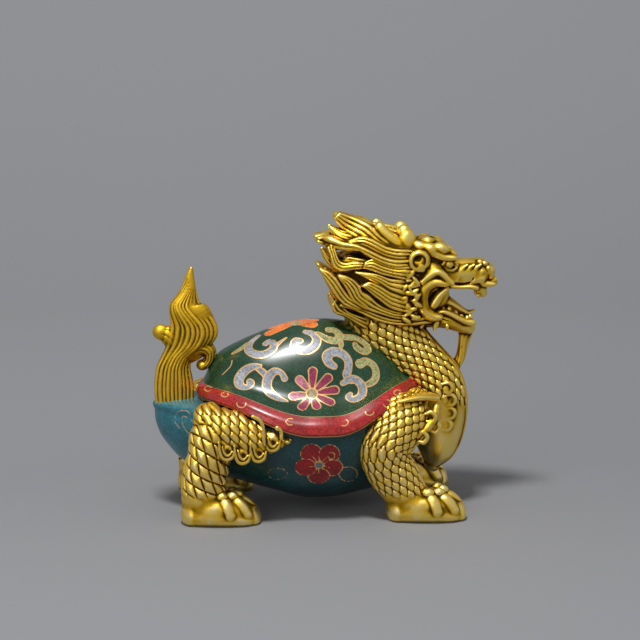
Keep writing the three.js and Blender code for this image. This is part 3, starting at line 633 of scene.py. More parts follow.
def face(field):
    ball(field, [33.0, 0, 79.0], [8.0, 9.4, 12.6])
    ball(field, [36.5, 0, 87.2], [8.6, 7.6, 6.2])
    ball(field, [35.5, 0, 91.6], [3.2, 4.6, 2.2], soft=0.5)
    # Upper jaw, lower jaw, throat and tongue.
    tube(field, [[33.0, 0, 83.0, 7.5, 8.8], [39.0, 0, 82.6, 6.0, 7.9], [45.0, 0, 81.2, 4.6, 6.8],
                 [51.0, 0, 81.1, 4.6, 6.0], [55.6, 0, 81.2, 4.4, 5.4], [57.6, 0, 81.6, 3.1, 4.4]], soft=0.9)
    tube(field, [[44.0, 0, 84.0, 1.8, 5.6], [51.0, 0, 84.2, 1.8, 4.6], [56.4, 0, 84.0, 1.7, 4.0]], soft=0.8)
    side_tube(field, -3.0, [[42.0, 79.6, 2.6], [47.0, 79.2, 2.5], [52.0, 79.2, 2.4], [55.0, 79.4, 2.2]], 3.3)
    ball(field, [49.0, 0, 81.4], [9.0, 6.7, 4.6], soft=1.2)
    tube(field, [[31.0, 0, 67.5, 4.8, 8.4], [38.5, 0, 65.8, 3.8, 7.2], [44.5, 0, 64.8, 3.3, 6.0],
                 [49.2, 0, 63.0, 3.2, 5.0], [51.6, 0, 61.8, 2.4, 4.0]], soft=0.8)
    ball(field, [38.0, 0, 73.5], [6.8, 6.9, 7.4])
    ball(field, [30.6, 0, 77.0], [4.8, 10.7, 12.0])
    ball(field, [50.6, 0, 62.9], [3.0, 4.6, 3.2])
    tube(field, [[40.5, 0, 72.2, 2.2, 3.8], [44.6, 0, 70.8, 1.9, 3.4], [48.2, 0, 68.6, 1.3, 2.8],
                 [51.2, 0, 67.1, 0.8, 2.2], [53.7, 0, 67.9, 0.35, 1.0]], soft=0.4)
    # Horn: one thick front lobe and one stubby prong behind.
    tube(field, near([[29.0, 5.6, 88.0, 3.2, 3.0], [29.2, 5.4, 91.6, 3.5, 3.2], [28.8, 5.2, 94.6, 3.2, 3.0],
                      [28.2, 5.0, 96.4, 2.4, 2.2]]), soft=0.4)
    tube(field, near([[28.6, 6.4, 89.6, 3.0, 2.6], [25.0, 6.2, 92.6, 2.6, 2.5], [21.8, 5.8, 95.6, 2.1, 2.1],
                      [20.0, 5.4, 97.8, 1.8, 1.8]]), soft=0.8)
    # Brow of rounded lobes with a ridge under them.
    for x, y, z, r in ((33.8, 6.8, 91.2, 2.1), (37.2, 7.2, 90.4, 2.3), (41.0, 6.8, 90.4, 2.4),
                       (44.6, 5.6, 88.4, 1.9),
                       (36.8, 4.4, 92.6, 1.9), (41.0, 4.0, 91.8, 1.7)):
        ball(field, [x, -y, z], [1.2 * r, 1.1 * r, 0.9 * r], soft=1.3, tilt=-25)
    side_tube(field, -8.0, [[34.6, 89.0, 1.0], [38.2, 89.0, 1.4], [41.8, 87.6, 1.3], [45.4, 87.3, 1.0]], 1.6,
              soft=0.5)
    # Eye and its lids.
    ball(field, [43.6, -6.6, 84.7], [2.4, 1.4, 2.0], soft=0.2, hollow=True)
    ball(field, [43.9, -6.4, 84.9], [1.5, 1.3, 1.45], soft=0.1)
    side_tube(field, -6.9, [[41.6, 85.0, 0.5], [43.0, 86.5, 0.6], [45.0, 86.7, 0.65], [46.4, 85.3, 0.6]],
              soft=0.15)
    side_tube(field, -6.6, [[41.7, 84.6, 0.4], [43.0, 83.2, 0.5], [44.8, 82.8, 0.5], [46.4, 83.6, 0.45]],
              soft=0.15)
    ball(field, [46.3, -6.0, 84.6], [0.9, 0.9, 0.9], soft=0.15)
    # Ear: a coiled rim round a hollow with a small ball in it.
    ball(field, [33.0, -9.6, 86.8], [4.0, 2.2, 3.7], soft=0.4)
    ball(field, [32.4, -12.3, 87.6], [1.5, 1.4, 1.3], soft=0.4, tilt=30, hollow=True)
    spiral(field, (33.0, -10.8, 86.8), 3.1, 2.5, -1.1, 1.0, 290, soft=0.4)
    spiral(field, (33.1, -11.0, 86.9), 1.7, 1.2, -0.6, 0.5, 60, soft=0.2)
    ball(field, [33.6, -11.2, 85.2], [1.2, 0.9, 0.9], soft=0.3)
    # Cheek ridge, which rises from the ear and sinks to the lip, and the ridge under the eye.
    ball(field, [37.4, -6.6, 82.6], [4.2, 3.4, 3.4], soft=0.8)
    side_tube(field, -8.9, [[34.2, 79.4, 1.1], [36.2, 81.0, 1.5], [38.6, 82.4, 1.5], [40.6, 82.2, 1.4],
                            [42.6, 80.4, 1.2], [44.6, 78.6, 0.9]], 1.7, soft=0.5)
    # Upper lip with a groove over it, and the hooked front of it.
    side_tube(field, -6.4, [[43.2, 79.4, 0.35], [46.0, 78.1, 0.4], [50.6, 78.2, 0.4], [52.2, 79.8, 0.35]],
              1.2,
              soft=0.15, hollow=True)
    side_tube(field, -5.4, [[41.6, 78.2, 0.8], [44.6, 77.2, 0.85], [47.8, 76.8, 0.75], [51.2, 76.9, 0.8],
                            [53.6, 76.4, 0.9]], 1.3, soft=0.2)
    tube(field, near([[53.6, 3.6, 77.0, 1.9, 1.8], [55.4, 3.2, 75.6, 2.1, 1.8], [56.2, 3.0, 74.2, 1.5, 1.4]]),
         soft=0.3)
    ball(field, [54.6, -3.4, 73.6], [0.8, 0.8, 1.1], soft=0.2)
    # Wrinkles of the snout, nostril and nose.
    for x in (46.6, 49.0, 51.4):
        side_tube(field, -5.9 + 0.12 * (x - 45.8), [[x, 79.0, 0.4], [x + 0.6, 81.2, 0.7],
                                                    [x + 2.0, 83.4, 0.7],
                                                    [x + 3.6, 84.6, 0.4]], 0.9, soft=0.5)
    for x, z in ((54.8, 85.1), (56.6, 84.6), (57.8, 82.9)):
        ball(field, [x, -3.2, z], [1.1, 1.3, 1.0], soft=0.2)
    side_tube(field, -4.6, [[55.6, 82.2, 0.8], [54.4, 80.6, 1.0], [54.6, 78.8, 1.1], [56.2, 77.7, 1.1],
                            [58.0, 77.5, 1.1], [59.6, 77.5, 0.8]], 1.2, soft=0.5)
    for x, y, z, r in ((58.6, 2.4, 80.2, 1.5), (59.8, 1.8, 78.6, 1.5), (60.4, 0.6, 77.6, 1.3),
                       (58.4, 0.0, 79.2, 1.9),
                       (59.2, 3.2, 77.6, 1.1)):
        ball(field, [x, -y, z], [r, r, 0.9 * r], soft=0.25)
    # Fold of skin round the corner of the mouth, and the rolls inside it.
    side_tube(field, -8.2, [[42.6, 78.5, 1.1], [38.6, 79.0, 1.7], [35.4, 77.2, 2.1], [34.2, 73.6, 2.2],
                            [34.9, 69.8, 2.1], [37.6, 67.4, 1.8], [40.4, 66.9, 1.2]], 2.3, soft=0.9)
    ball(field, [38.8, -7.0, 73.2], [1.8, 1.6, 3.4], soft=0.4, tilt=-30, hollow=True)
    side_tube(field, -6.2, [[37.6, 69.6, 1.2], [39.0, 71.6, 1.7], [40.8, 74.2, 1.6], [43.0, 76.4, 1.1]], 1.9,
              soft=0.3)
    # Lower lip with its teeth, the groove along the jaw, and short spikes behind it.
    side_tube(field, -5.2, [[38.4, 67.6, 0.8], [42.0, 68.1, 1.0], [44.6, 67.4, 1.0], [47.4, 65.9, 1.0],
                            [50.0, 64.7, 1.1], [52.2, 64.2, 1.3]], 1.4, soft=0.5)
    side_tube(field, -6.6, [[41.4, 66.0, 0.25], [45.4, 64.4, 0.3], [50.6, 61.9, 0.25]], 0.8, soft=0.3,
              hollow=True)
    for x, y, z, r in ((42.2, 4.6, 69.0, 0.7), (44.2, 4.5, 69.0, 0.85), (46.5, 4.1, 67.6, 0.8),
                       (48.6, 3.8, 66.2, 0.8),
                       (50.7, 3.2, 65.4, 1.0), (52.0, 1.6, 65.6, 0.9)):
        ball(field, [x, -y, z], [r, r, 1.25 * r], soft=0.15)
    for stations in ([[35.6, 67.4, 0.9], [35.2, 65.4, 1.0], [34.2, 63.2, 0.5]],
                     [[39.4, 64.6, 1.2], [38.8, 62.4, 0.6]],
                     [[43.2, 63.6, 0.8], [43.4, 62.2, 0.4]]):
        side_tube(field, -7.0, stations, 1.0, soft=0.2)
    # Beard: one twisted post from the chin to the breast.
    tube(field, [[51.0, 0, 61.0, 2.2, 2.4], [50.2, 0, 58.0, 2.2, 2.2], [49.7, 0, 54.8, 1.8, 2.0],
                 [49.0, 0, 51.5, 1.7, 1.9], [47.6, 0, 48.8, 1.8, 2.1], [45.2, 0, 46.4, 2.0, 2.4]],
         soft=0.7, relief=hair(3, 0.25, 0.3))


def head_and_neck():
    field = Field([-3.5, -16.5, 8], [64, 0, 105], HEAD_VOXEL, mirrored=True)

    def scaled_part(at):
        from_front = math.pi - np.abs(at.turn)
        side = smoothstep((from_front - 0.5) / 0.08)
        return side * smoothstep((at.Z - 38 + 0.35 * (at.X - 38)) / 4)

    def neck_relief(at):
        from_front = math.pi - np.abs(at.turn)
        outer = 0.55 * np.exp(-((from_front - 0.48) / 0.06) ** 2)
        inner = 0.3 * np.exp(-((from_front - 0.24) / 0.05) ** 2)
        return scales(21, 5.2, 1.3, downstream=-1, where=scaled_part)(at) + (outer + inner)
    tube(field, NECK, relief=neck_relief, steps=6)
    mane(field)
    face(field)
    # Curls that fringe the neck beside the smooth breast.
    for x, z, r in ((43.0, 42.4, 2.0), (44.2, 38.2, 2.1), (44.0, 33.6, 1.9), (42.8, 29.4, 1.6)):
        ball(field, [x, -9.9, z], [r + 0.3, 1.3, r + 0.2], soft=0.8)
        side_tube(field, -10.7, [[x - 1.8, z + 1.6, 0.4], [x + 0.4, z + 1.9, 0.7], [x + 1.6, z + 0.2, 0.8],
                                 [x + 0.5, z - 1.5, 0.7], [x - 1.2, z - 1.4, 0.4]], 0.8, soft=0.3)
    return mesh_of("head_and_neck_cast", field, HEAD_TRIANGLES)


# Enamel body: horizontal contours, each with the flank's y and z, the rear's x and z, the front's x and z,
# and the x of its middle.

CARAPACE_CONTOURS = [
    [0.0, 65.5, 2.0, 65.5, 2.0, 65.5, 2.0], [6.0, 64.3, -9.0, 64.6, 10.0, 64.2, 0.5],
    [11.0, 60.6, -19.0, 61.6, 17.0, 60.6, -1.0], [15.0, 56.0, -28.5, 57.6, 23.0, 56.0, -2.5],
    [18.3, 50.5, -35.0, 54.0, 27.0, 52.0, -3.0], [20.6, 45.8, -38.0, 49.8, 29.5, 49.0, -3.0],
    [23.8, 41.2, -39.5, 46.5, 31.0, 47.0, -3.0], [29.3, 37.3, -40.6, 44.3, 32.0, 46.0, -3.0],
    [31.8, 34.8, -42.2, 42.8, 33.8, 44.3, -3.0], [33.0, 31.9, -42.8, 40.8, 34.8, 42.2, -3.0],
    [32.5, 30.9, -42.3, 39.8, 34.3, 41.3, -3.0], [26.5, 33.0, -36.0, 40.4, 28.0, 41.6, -3.0],
    [0.0, 37.0, -3.0, 37.0, -3.0, 37.0, -3.0],
]
BOUNDARY_ROW = 7
RIM_ROW = 9
LIP_ROW = 10
BELLY_CONTOURS = [
    [0.0, 36.0, -3.0, 36.0, -3.0, 36.0, -3.0], [18.0, 33.2, -40.0, 38.6, 24.0, 38.6, -3.0],
    [28.0, 31.6, -56.4, 38.0, 32.0, 39.2, -3.0], [29.2, 29.0, -57.2, 34.1, 33.0, 34.0, -3.0],
    [28.4, 23.0, -56.5, 29.0, 33.0, 28.0, -3.0], [25.8, 17.0, -53.4, 23.0, 31.0, 22.0, -3.0],
    [21.3, 11.0, -46.0, 15.8, 28.5, 14.0, -3.0], [14.5, 6.4, -29.0, 9.8, 23.0, 8.2, -3.0],
    [7.5, 4.1, -15.0, 5.4, 14.0, 5.0, -3.0], [0.0, 3.0, -3.0, 3.0, -3.0, 3.0, -3.0],
]
# Powers of a contour's rear curve along X and along Y: a plain ellipse, and the stern's edge and keel.
ELLIPSE = (2.0, 2.0)
STERN_EDGE = np.array([1.6, 1.3])
STERN_KEEL = np.array([2.0, 2.0])
# Points round each ring.
SHELL_AROUND = 560
BELLY_AROUND = 480
# The distance to a wire where there is none near, and the most that is kept of it.
NO_WIRE = 9.0
WIRE_KEPT = 1.5
# How a contour rises from the flank to its ends: where it starts, as a share of the reach, and over how much.
RISE_BEHIND = (0.06, 0.82)
RISE_IN_FRONT = (0.18, 0.73)


def contour_points(row, angles, sharpness):
    """Points of one contour: an ellipse at the front and a sharper curve at the rear, lifted at both ends."""
    flank_y, flank_z, rear_x, rear_z, front_x, front_z, middle = row
    c, s = np.cos(angles), np.sin(angles)
    rear = c < 0
    reach = np.where(rear, middle - rear_x, front_x - middle)
    end_z = np.where(rear, rear_z, front_z)
    along = np.where(rear, 2 / sharpness[0], 1.0)
    across = np.where(rear, 2 / sharpness[1], 1.0)
    lift = np.where(rear, smoothstep((np.abs(c) - RISE_BEHIND[0]) / RISE_BEHIND[1]),
                    smoothstep((np.abs(c) - RISE_IN_FRONT[0]) / RISE_IN_FRONT[1]))
    x = middle + reach * np.sign(c) * np.abs(c) ** along
    y = flank_y * np.sign(s) * np.abs(s) ** across
    z = flank_z + (end_z - flank_z) * lift
    return np.stack([x, y, z], axis=-1)


def rings_mesh(name, rings):
    """Rings of equal length, the first and last shrunk to a point, as a closed surface facing outward."""
    count = len(rings[0])
    points = np.vstack([rings[0][:1]] + list(rings[1:-1]) + [rings[-1][:1]])
    around = np.arange(count)
    following = (around + 1) % count
    inner = len(rings) - 3
    base = 1 + count * np.arange(inner)[:, None]
    quads = np.stack([base + around, base + count + around, base + count + following, base + following],
                     axis=2)
    quads = quads.reshape(-1, 4)
    end = 1 + inner * count
    zero = np.zeros(count, int)
    caps = np.vstack([np.stack([zero, 1 + around, 1 + following], axis=1),
                      np.stack([zero + len(points) - 1, end + following, end + around], axis=1)])
    mesh = bpy.data.meshes.new(name)
    mesh.from_pydata(in_frame(points).tolist(), [], quads.tolist() + caps.tolist())
    mesh.update()
    smooth_shaded(mesh)
    return mesh, points


def stacked(contours, spans, around, sharpness_of):
    """Rings along a smooth run of contours. Spans give the rows at sharp edges and the steps between rows."""
    rows, shares = [], []
    for (first, last), steps in spans:
        run = curve_through(contours[first:last + 1], steps)
        place_in = first + np.arange(len(run)) / steps
        skip = 1 if rows else 0
        rows += list(run[skip:])
        shares += list(place_in[skip:])
    angles = np.linspace(0, 2 * math.pi, around, endpoint=False)
    return [contour_points(row, angles, sharpness_of(share)) for row, share in zip(rows, shares)], shares


class Cloisons:
    """Enamel cells and their wires on a surface, kept as a colour and a distance to a wire at each point."""

    def __init__(self, name, contours, spans, around, sharpness_of, ground):
        rings, shares = stacked(contours, spans, around, sharpness_of)
        self.mesh, self.points = rings_mesh(name, rings)
        self.share = np.concatenate([[shares[0]], np.repeat(shares[1:-1], around), [shares[-1]]])
        self.colour = np.tile(np.array(ground, float), (len(self.points), 1))
        self.wire = np.full(len(self.points), NO_WIRE)
        faces = [tuple(face.vertices) for face in self.mesh.polygons]
        self.tree = BVHTree.FromPolygons([Vector(p) for p in self.points], faces)

    def seen_at(self, x, z):
        """The surface point behind a place in the side view, which lies on the plane y = 0."""
        start = Vector(EYE)
        way = Vector((x, 0, z)) - start
        return np.array(self.tree.ray_cast(start, way.normalized())[0])

    def above(self, x, y):
        return np.array(self.tree.ray_cast(Vector((x, y, 99)), Vector((0, 0, -1)))[0])

    def laid(self, stations, steps=6):
        """Stations x, z, half-width in the side view as points on the surface with their half-widths."""
        line = curve_through(stations, steps) if len(stations) > 1 else np.array(stations, float)
        return [(*self.seen_at(x, z), max(width, 0.05)) for x, z, width in line]

    def cell(self, line, colour, mirrored=True):
        """Fills the reach of a line of points x, y, z, half-width with a colour, edged with wire."""
        for side in (1, -1) if mirrored else (1,):
            self._stroke(np.array(line) * [1, side, 1, 1], colour)

    def thread(self, places, steps=6):
        """Wire alone through places x, z in the side view, on both flanks."""
        self.cell(self.laid([[x, z, 0.1] for x, z in places], steps), None)

    def _stroke(self, line, colour):
        centres, widths = line[:, :3], line[:, 3]
        margin = widths.max() + 2.5
        over, under = self.points > centres.min(0) - margin, self.points < centres.max(0) + margin
        index = np.nonzero(np.all(over & under, axis=1))[0]
        if len(index) == 0:
            return
        spots = self.points[index]
        gap = np.linalg.norm(spots - centres[0], axis=1) - (widths[0] if colour is not None else 0)
        for i in range(len(centres) - 1):
            step = centres[i + 1] - centres[i]
            length = max(float(step @ step), 1e-9)
            h = np.clip((spots - centres[i]) @ step / length, 0, 1)
            width = widths[i] + h * (widths[i + 1] - widths[i]) if colour is not None else 0
            gap = np.minimum(gap, np.linalg.norm(spots - centres[i] - h[:, None] * step, axis=1) - width)
        if colour is None:
            self.wire[index] = np.minimum(self.wire[index], np.abs(gap))
            return
        inside = gap < 0
        self.wire[index] = np.where(inside, -gap, np.minimum(self.wire[index], gap))
        self.colour[index[inside]] = colour

    def finished(self):
        enamel = np.hstack([self.colour, np.ones((len(self.points), 1))])
        for name, kind, key, values in (("enamel", "FLOAT_COLOR", "color", enamel),
                                        ("wire", "FLOAT", "value", np.clip(self.wire, 0, WIRE_KEPT))):
            layer = self.mesh.attributes.new(name, kind, "POINT")
            layer.data.foreach_set(key, values.astype(np.float32).ravel())
        return added(self.mesh.name, self.mesh)


# Where the studio camera stands, in the millimetres of this script.
AZIMUTH, ELEVATION, DISTANCE, AIM_HEIGHT = math.radians(-4.5), math.radians(10), 800.0, 65.0
BACK = np.array([math.sin(AZIMUTH) * math.cos(ELEVATION), -math.cos(AZIMUTH) * math.cos(ELEVATION),
                 math.sin(ELEVATION)])
EYE = np.array([0, 0, AIM_HEIGHT]) + BACK * DISTANCE


def paint(red, green, blue):
    """A colour given as it looks on screen, 0 to 255, as linear light."""
    return tuple(((c / 255 + 0.055) / 1.055) ** 2.4 for c in (red, green, blue))


GREEN = paint(23, 54, 33)
LILAC = paint(133, 135, 139)
OLIVE = paint(128, 130, 88)
BURGUNDY = paint(128, 42, 66)
PINK = paint(170, 104, 118)
BEIGE = paint(158, 140, 104)
ORANGE = paint(212, 104, 36)
RED = paint(142, 32, 30)
TEAL = paint(24, 62, 64)
STERN_BLUE = paint(44, 104, 116)
PLUM = paint(140, 22, 24)
ASH = paint(96, 104, 112)
WIRE = paint(232, 182, 118)

# Scrolls of the shell in the side view: x, z and half-width along each.
SCROLLS = [
    (LILAC, [[-22.0, 48.6, 0.7], [-19.8, 47.0, 1.0], [-18.6, 45.4, 0.9]]),
    (LILAC, [[-20.7, 49.3, 0.5], [-23.8, 48.8, 1.2], [-26.4, 47.2, 1.6], [-28.1, 44.7, 1.7],
             [-27.6, 42.3, 1.3],
             [-25.4, 41.7, 1.0], [-23.9, 43.1, 1.1], [-24.5, 43.8, 0.9]]),
    (LILAC, [[-12.3, 44.6, 1.0], [-13.4, 46.6, 0.8], [-15.7, 47.2, 1.2], [-17.7, 45.3, 1.5],
             [-18.5, 42.6, 1.5],
             [-17.4, 39.7, 1.4], [-14.8, 37.8, 1.1], [-11.4, 36.6, 0.3]]),
    (LILAC, [[-16.6, 54.5, 0.7], [-14.3, 57.0, 0.5], [-11.6, 59.0, 0.15]]),
    (LILAC, [[-18.8, 57.0, 1.0], [-17.5, 57.8, 0.9], [-16.0, 56.7, 1.2], [-16.6, 54.8, 1.3],
             [-19.7, 53.2, 1.35],
             [-22.9, 53.5, 1.4], [-24.8, 55.1, 1.3], [-24.0, 57.4, 1.2], [-21.5, 59.6, 1.0]]),
    (LILAC, [[-6.8, 57.8, 0.9], [-8.5, 58.0, 1.0], [-9.0, 56.3, 1.2], [-7.5, 54.8, 1.3], [-4.8, 54.3, 1.4],
             [-2.1, 55.7, 1.45], [-1.1, 58.1, 1.4], [-2.5, 60.1, 1.1], [-5.0, 61.0, 0.8]]),
    (OLIVE, [[6.7, 58.1, 1.0], [7.3, 56.4, 0.8], [7.2, 55.3, 0.4]]),
    (OLIVE, [[2.9, 61.6, 1.0], [5.2, 61.2, 1.1], [6.7, 59.5, 1.3], [5.8, 57.8, 1.3], [2.9, 58.1, 1.2],
             [0.4, 59.6, 0.9], [-1.0, 60.5, 0.5]]),
    (OLIVE, [[7.4, 59.0, 1.0], [9.7, 58.8, 1.1], [12.6, 58.5, 1.1], [15.6, 56.6, 1.2], [16.7, 54.5, 1.2],
             [15.2, 53.7, 1.1], [12.9, 55.0, 1.1], [12.2, 56.3, 0.8]]),
    (LILAC, [[4.8, 48.7, 1.1], [3.0, 50.1, 1.4], [2.5, 52.4, 1.6], [4.7, 53.8, 1.6], [7.7, 53.0, 1.5],
             [9.7, 50.7, 1.3], [9.8, 47.7, 1.2], [9.3, 45.4, 1.3], [10.9, 43.7, 1.2]]),
    (OLIVE, [[13.9, 49.4, 1.5], [16.1, 50.3, 1.2], [18.5, 48.9, 1.2], [19.5, 46.4, 1.2], [19.1, 43.8, 1.1],
             [17.2, 42.3, 1.0], [15.2, 41.8, 0.6]]),
    (LILAC, [[7.9, 42.6, 0.8], [10.9, 44.1, 1.2], [13.4, 43.1, 1.4], [14.8, 40.7, 1.4], [14.3, 38.1, 1.3],
             [11.8, 36.8, 1.2], [9.8, 37.6, 0.9], [10.6, 38.7, 0.7]]),
    (OLIVE, [[-30.1, 53.8, 0.5], [-27.6, 55.2, 0.9], [-25.4, 56.9, 0.9]]),
]
# The large flower on the flank: its middle, and the outer end of each petal with its colour.
FLOWER = [-2.8, 39.1]
PETALS = [(-2.5, 47.0, BURGUNDY), (2.8, 44.6, BURGUNDY), (5.2, 40.3, BURGUNDY), (3.6, 36.0, BURGUNDY),
          (-1.2, 34.7, BURGUNDY), (-6.2, 34.5, BURGUNDY), (-9.3, 38.3, PINK), (-7.0, 44.0, PINK)]
# The flower on top, seen from above: its middle, and the outer end of each petal from there.
TOP_FLOWER = [-8.5, -2.6]
TOP_PETALS = [(-9.0, -1.6), (5.2, -2.6), (6.0, 1.6), (3.2, 5.4), (-2.4, 6.4), (-7.6, 3.6)]
# Wire arcs on the red rim in the side view: x, z, half-width, half-height, first and last angle in degrees.
RIM_ARCS = [(-38.8, 41.5, 1.2, 0.9, 20, 330), (-33.0, 39.3, 1.2, 0.8, 100, 400),
            (-27.3, 36.0, 1.6, 1.4, 165, 375),
            (-10.3, 29.3, 1.5, 1.2, 60, 300), (8.4, 28.7, 1.4, 1.2, 240, 420),
            (17.3, 32.2, 1.5, 1.1, 170, 365),
            (23.4, 35.2, 1.3, 1.3, 200, 450), (27.0, 39.0, 1.2, 1.0, 30, 300)]


# A bare wire on the flank in the side view: x and z.
STEM = [(-30.4, 51.3), (-31.0, 49.2), (-33.8, 46.3)]


def carapace():
    spans = [((0, BOUNDARY_ROW), 14), ((BOUNDARY_ROW, RIM_ROW), 10), ((RIM_ROW, LIP_ROW), 3),
             ((LIP_ROW, 12), 4)]
    shell = Cloisons("carapace_enamel", CARAPACE_CONTOURS, spans, SHELL_AROUND, lambda share: ELLIPSE, GREEN)
    for colour, stations in SCROLLS:
        shell.cell(shell.laid(stations), colour)
    shell.thread(STEM)
    middle = shell.seen_at(*FLOWER)
    for x, z, colour in PETALS:
        end = shell.seen_at(x, z)
        shell.cell([(*(middle + 0.15 * (end - middle)), 0.5), (*(middle + 0.6 * (end - middle)), 1.2),
                    (*end, 1.5)],
                   colour)
    shell.cell([(*middle, 1.9)], BEIGE)
    middle = shell.above(*TOP_FLOWER)
    for x, y in TOP_PETALS:
        end = shell.above(TOP_FLOWER[0] + x, TOP_FLOWER[1] + y)
        half = shell.above(TOP_FLOWER[0] + 0.55 * x, TOP_FLOWER[1] + 0.55 * y)
        shell.cell([(*middle, 0.8), (*half, 1.9), (*end, 2.0)], ORANGE, mirrored=False)
    shell.cell([(*middle, 1.9)], BEIGE, mirrored=False)
    band = shell.share > BOUNDARY_ROW
    shell.colour[band] = RED
    shell.wire[band] = NO_WIRE
    shell.wire[np.abs(shell.share - BOUNDARY_ROW) < 0.07] = 0.0
    shell.wire[shell.share > RIM_ROW + 0.35] = 0.0
    for x, z, wide, high, first, last in RIM_ARCS:
        turns = np.radians(np.linspace(first, last, 7))
        shell.thread([(x + wide * math.cos(t), z + high * math.sin(t)) for t in turns], 3)
    return shell.finished()


# The blossom under the rim: its middle, and each petal's middle and radius.
BLOSSOM = (-0.4, 13.6)
BLOSSOM_PETALS = [(-3.0, 17.6, 3.6), (3.2, 17.2, 3.6), (4.4, 12.4, 3.5), (-0.4, 9.6, 3.6), (-5.0, 12.8, 3.6)]
# Ovals of wire round it: x, z, half-width and half-height. Scrolls of wire on the stern: x and z.
OVALS = [(9.9, 10.2, 3.2, 2.6), (-14.8, 10.8, 3.4, 2.0), (4.0, 16.9, 1.2, 1.2)]
STERN_SCROLLS = [[(-44.4, 30.0), (-45.6, 33.4), (-49.0, 33.6), (-50.4, 30.4), (-48.6, 27.4)],
                 [(-46.0, 31.4), (-47.6, 31.8), (-47.8, 29.4), (-46.2, 26.4), (-44.0, 24.6)]]


def belly():
    def sharpness_of(share):
        down = (share - 1) / 8
        return STERN_EDGE + (STERN_KEEL - STERN_EDGE) * min(max(down, 0), 1)
    body = Cloisons("belly_enamel", BELLY_CONTOURS, [((0, 9), 11)], BELLY_AROUND, sharpness_of, TEAL)
    behind = smoothstep((-34 - body.points[:, 0]) / 14)[:, None]
    body.colour = body.colour + behind * (np.array(STERN_BLUE) - body.colour)
    # Painted shade: the enamel gets darker from 14 mm down, up to 60% darker towards the underside.
    under = smoothstep((14 - body.points[:, 2]) / 9)[:, None]
    body.colour = body.colour * (1 - 0.6 * under)
    x, z = BLOSSOM
    for px, pz, radius in BLOSSOM_PETALS:
        body.cell([(*body.seen_at(px, pz), radius)], PLUM)
    body.cell([(*body.seen_at(x, z), 1.3)], ASH)
    for px, pz, _ in BLOSSOM_PETALS:
        body.thread([(x + share * (px - x), z + share * (pz - z)) for share in (0.3, 0.8)])
    for x, z, wide, high in OVALS:
        turns = np.linspace(0, 2 * math.pi, 13)
        body.thread([(x + wide * math.cos(t), z + high * math.sin(t)) for t in turns], 2)
    for places in STERN_SCROLLS:
        body.thread(places)
    return body.finished()


# Materials.

# The gilding's colour from its bright edges to its hollows, which are dark with patina and painted shade, and
# where it is worn.
GILT_PATINA_AND_PAINTED_SHADE = [(0.12, (1.0, 0.75, 0.18)), (0.26, (0.93, 0.62, 0.075)), (0.40, (0.78, 0.48, 0.030)),
             (0.51, (0.52, 0.30, 0.012)), (0.62, (0.20, 0.11, 0.005)), (0.76, (0.06, 0.032, 0.003))]
WORN_GILT = (0.98, 0.78, 0.36)
# Height in metres at which the wear begins, and at which it is full.
WEAR_HEIGHTS = (0.050, 0.014)
# The part of a noise's range in which nearly all of it lies.
NOISE_RANGE = (0.3, 0.7)
# Half the width in millimetres over which enamel turns to wire.
WIRE_BLUR = 0.05
ENAMEL_GLOSS = [("Roughness", 0.27), ("Specular IOR Level", 0.42), ("Coat Weight", 0.08),
                ("Coat Roughness", 0.1)]


def new_material(name):
    material = bpy.data.materials.new(name)
    material.use_nodes = True
    tree = material.node_tree
    return material, tree, tree.nodes["Principled BSDF"]


def node(tree, kind, **values):
    made = tree.nodes.new(kind)
    for key, value in values.items():
        if key in made.inputs.keys():
            made.inputs[key].default_value = value
        else:
            setattr(made, key, value)
    return made


def ramp(tree, source, stops):
    """Colours, or shades of grey, along a value."""
    made = tree.nodes.new("ShaderNodeValToRGB")
    elements = made.color_ramp.elements
    while len(elements) < len(stops):
        elements.new(0.5)
    for element, (position, colour) in zip(elements, stops):
        element.position = position
        element.color = (*colour, 1) if isinstance(colour, tuple) else (colour, colour, colour, 1)
    tree.links.new(source, made.inputs["Fac"])
    return made.outputs["Color"]


def maths(tree, operation, *terms):
    """A sum or product of numbers and of other nodes' outputs."""
    made = node(tree, "ShaderNodeMath", operation=operation)
    for term, socket in zip(terms, made.inputs):
        if isinstance(term, float):
            socket.default_value = term
        else:
            tree.links.new(term, socket)
    return made.outputs[0]


def map_range(tree, source, taken, given=(0.0, 1.0)):
    limits = dict(zip(("From Min", "From Max", "To Min", "To Max"), (*taken, *given)))
    made = node(tree, "ShaderNodeMapRange", **limits)
    tree.links.new(source, made.inputs["Value"])
    return made.outputs["Result"]


def noise(tree, where, **values):
    made = node(tree, "ShaderNodeTexNoise", **values)
    tree.links.new(where, made.inputs["Vector"])
    return made.outputs["Fac"]


def mixed(tree, share, under, over):
    """One colour over another, by a share from 0 to 1."""
    made = node(tree, "ShaderNodeMix", data_type="RGBA")
    tree.links.new(share, made.inputs["Factor"])
    tree.links.new(under, made.inputs[6])
    made.inputs[7].default_value = (*over, 1)
    return made.outputs[2]


def bump(tree, shader, source, strength, distance):
    made = node(tree, "ShaderNodeBump", Strength=strength, Distance=distance)
    tree.links.new(source, made.inputs["Height"])
    tree.links.new(made.outputs["Normal"], shader.inputs["Normal"])


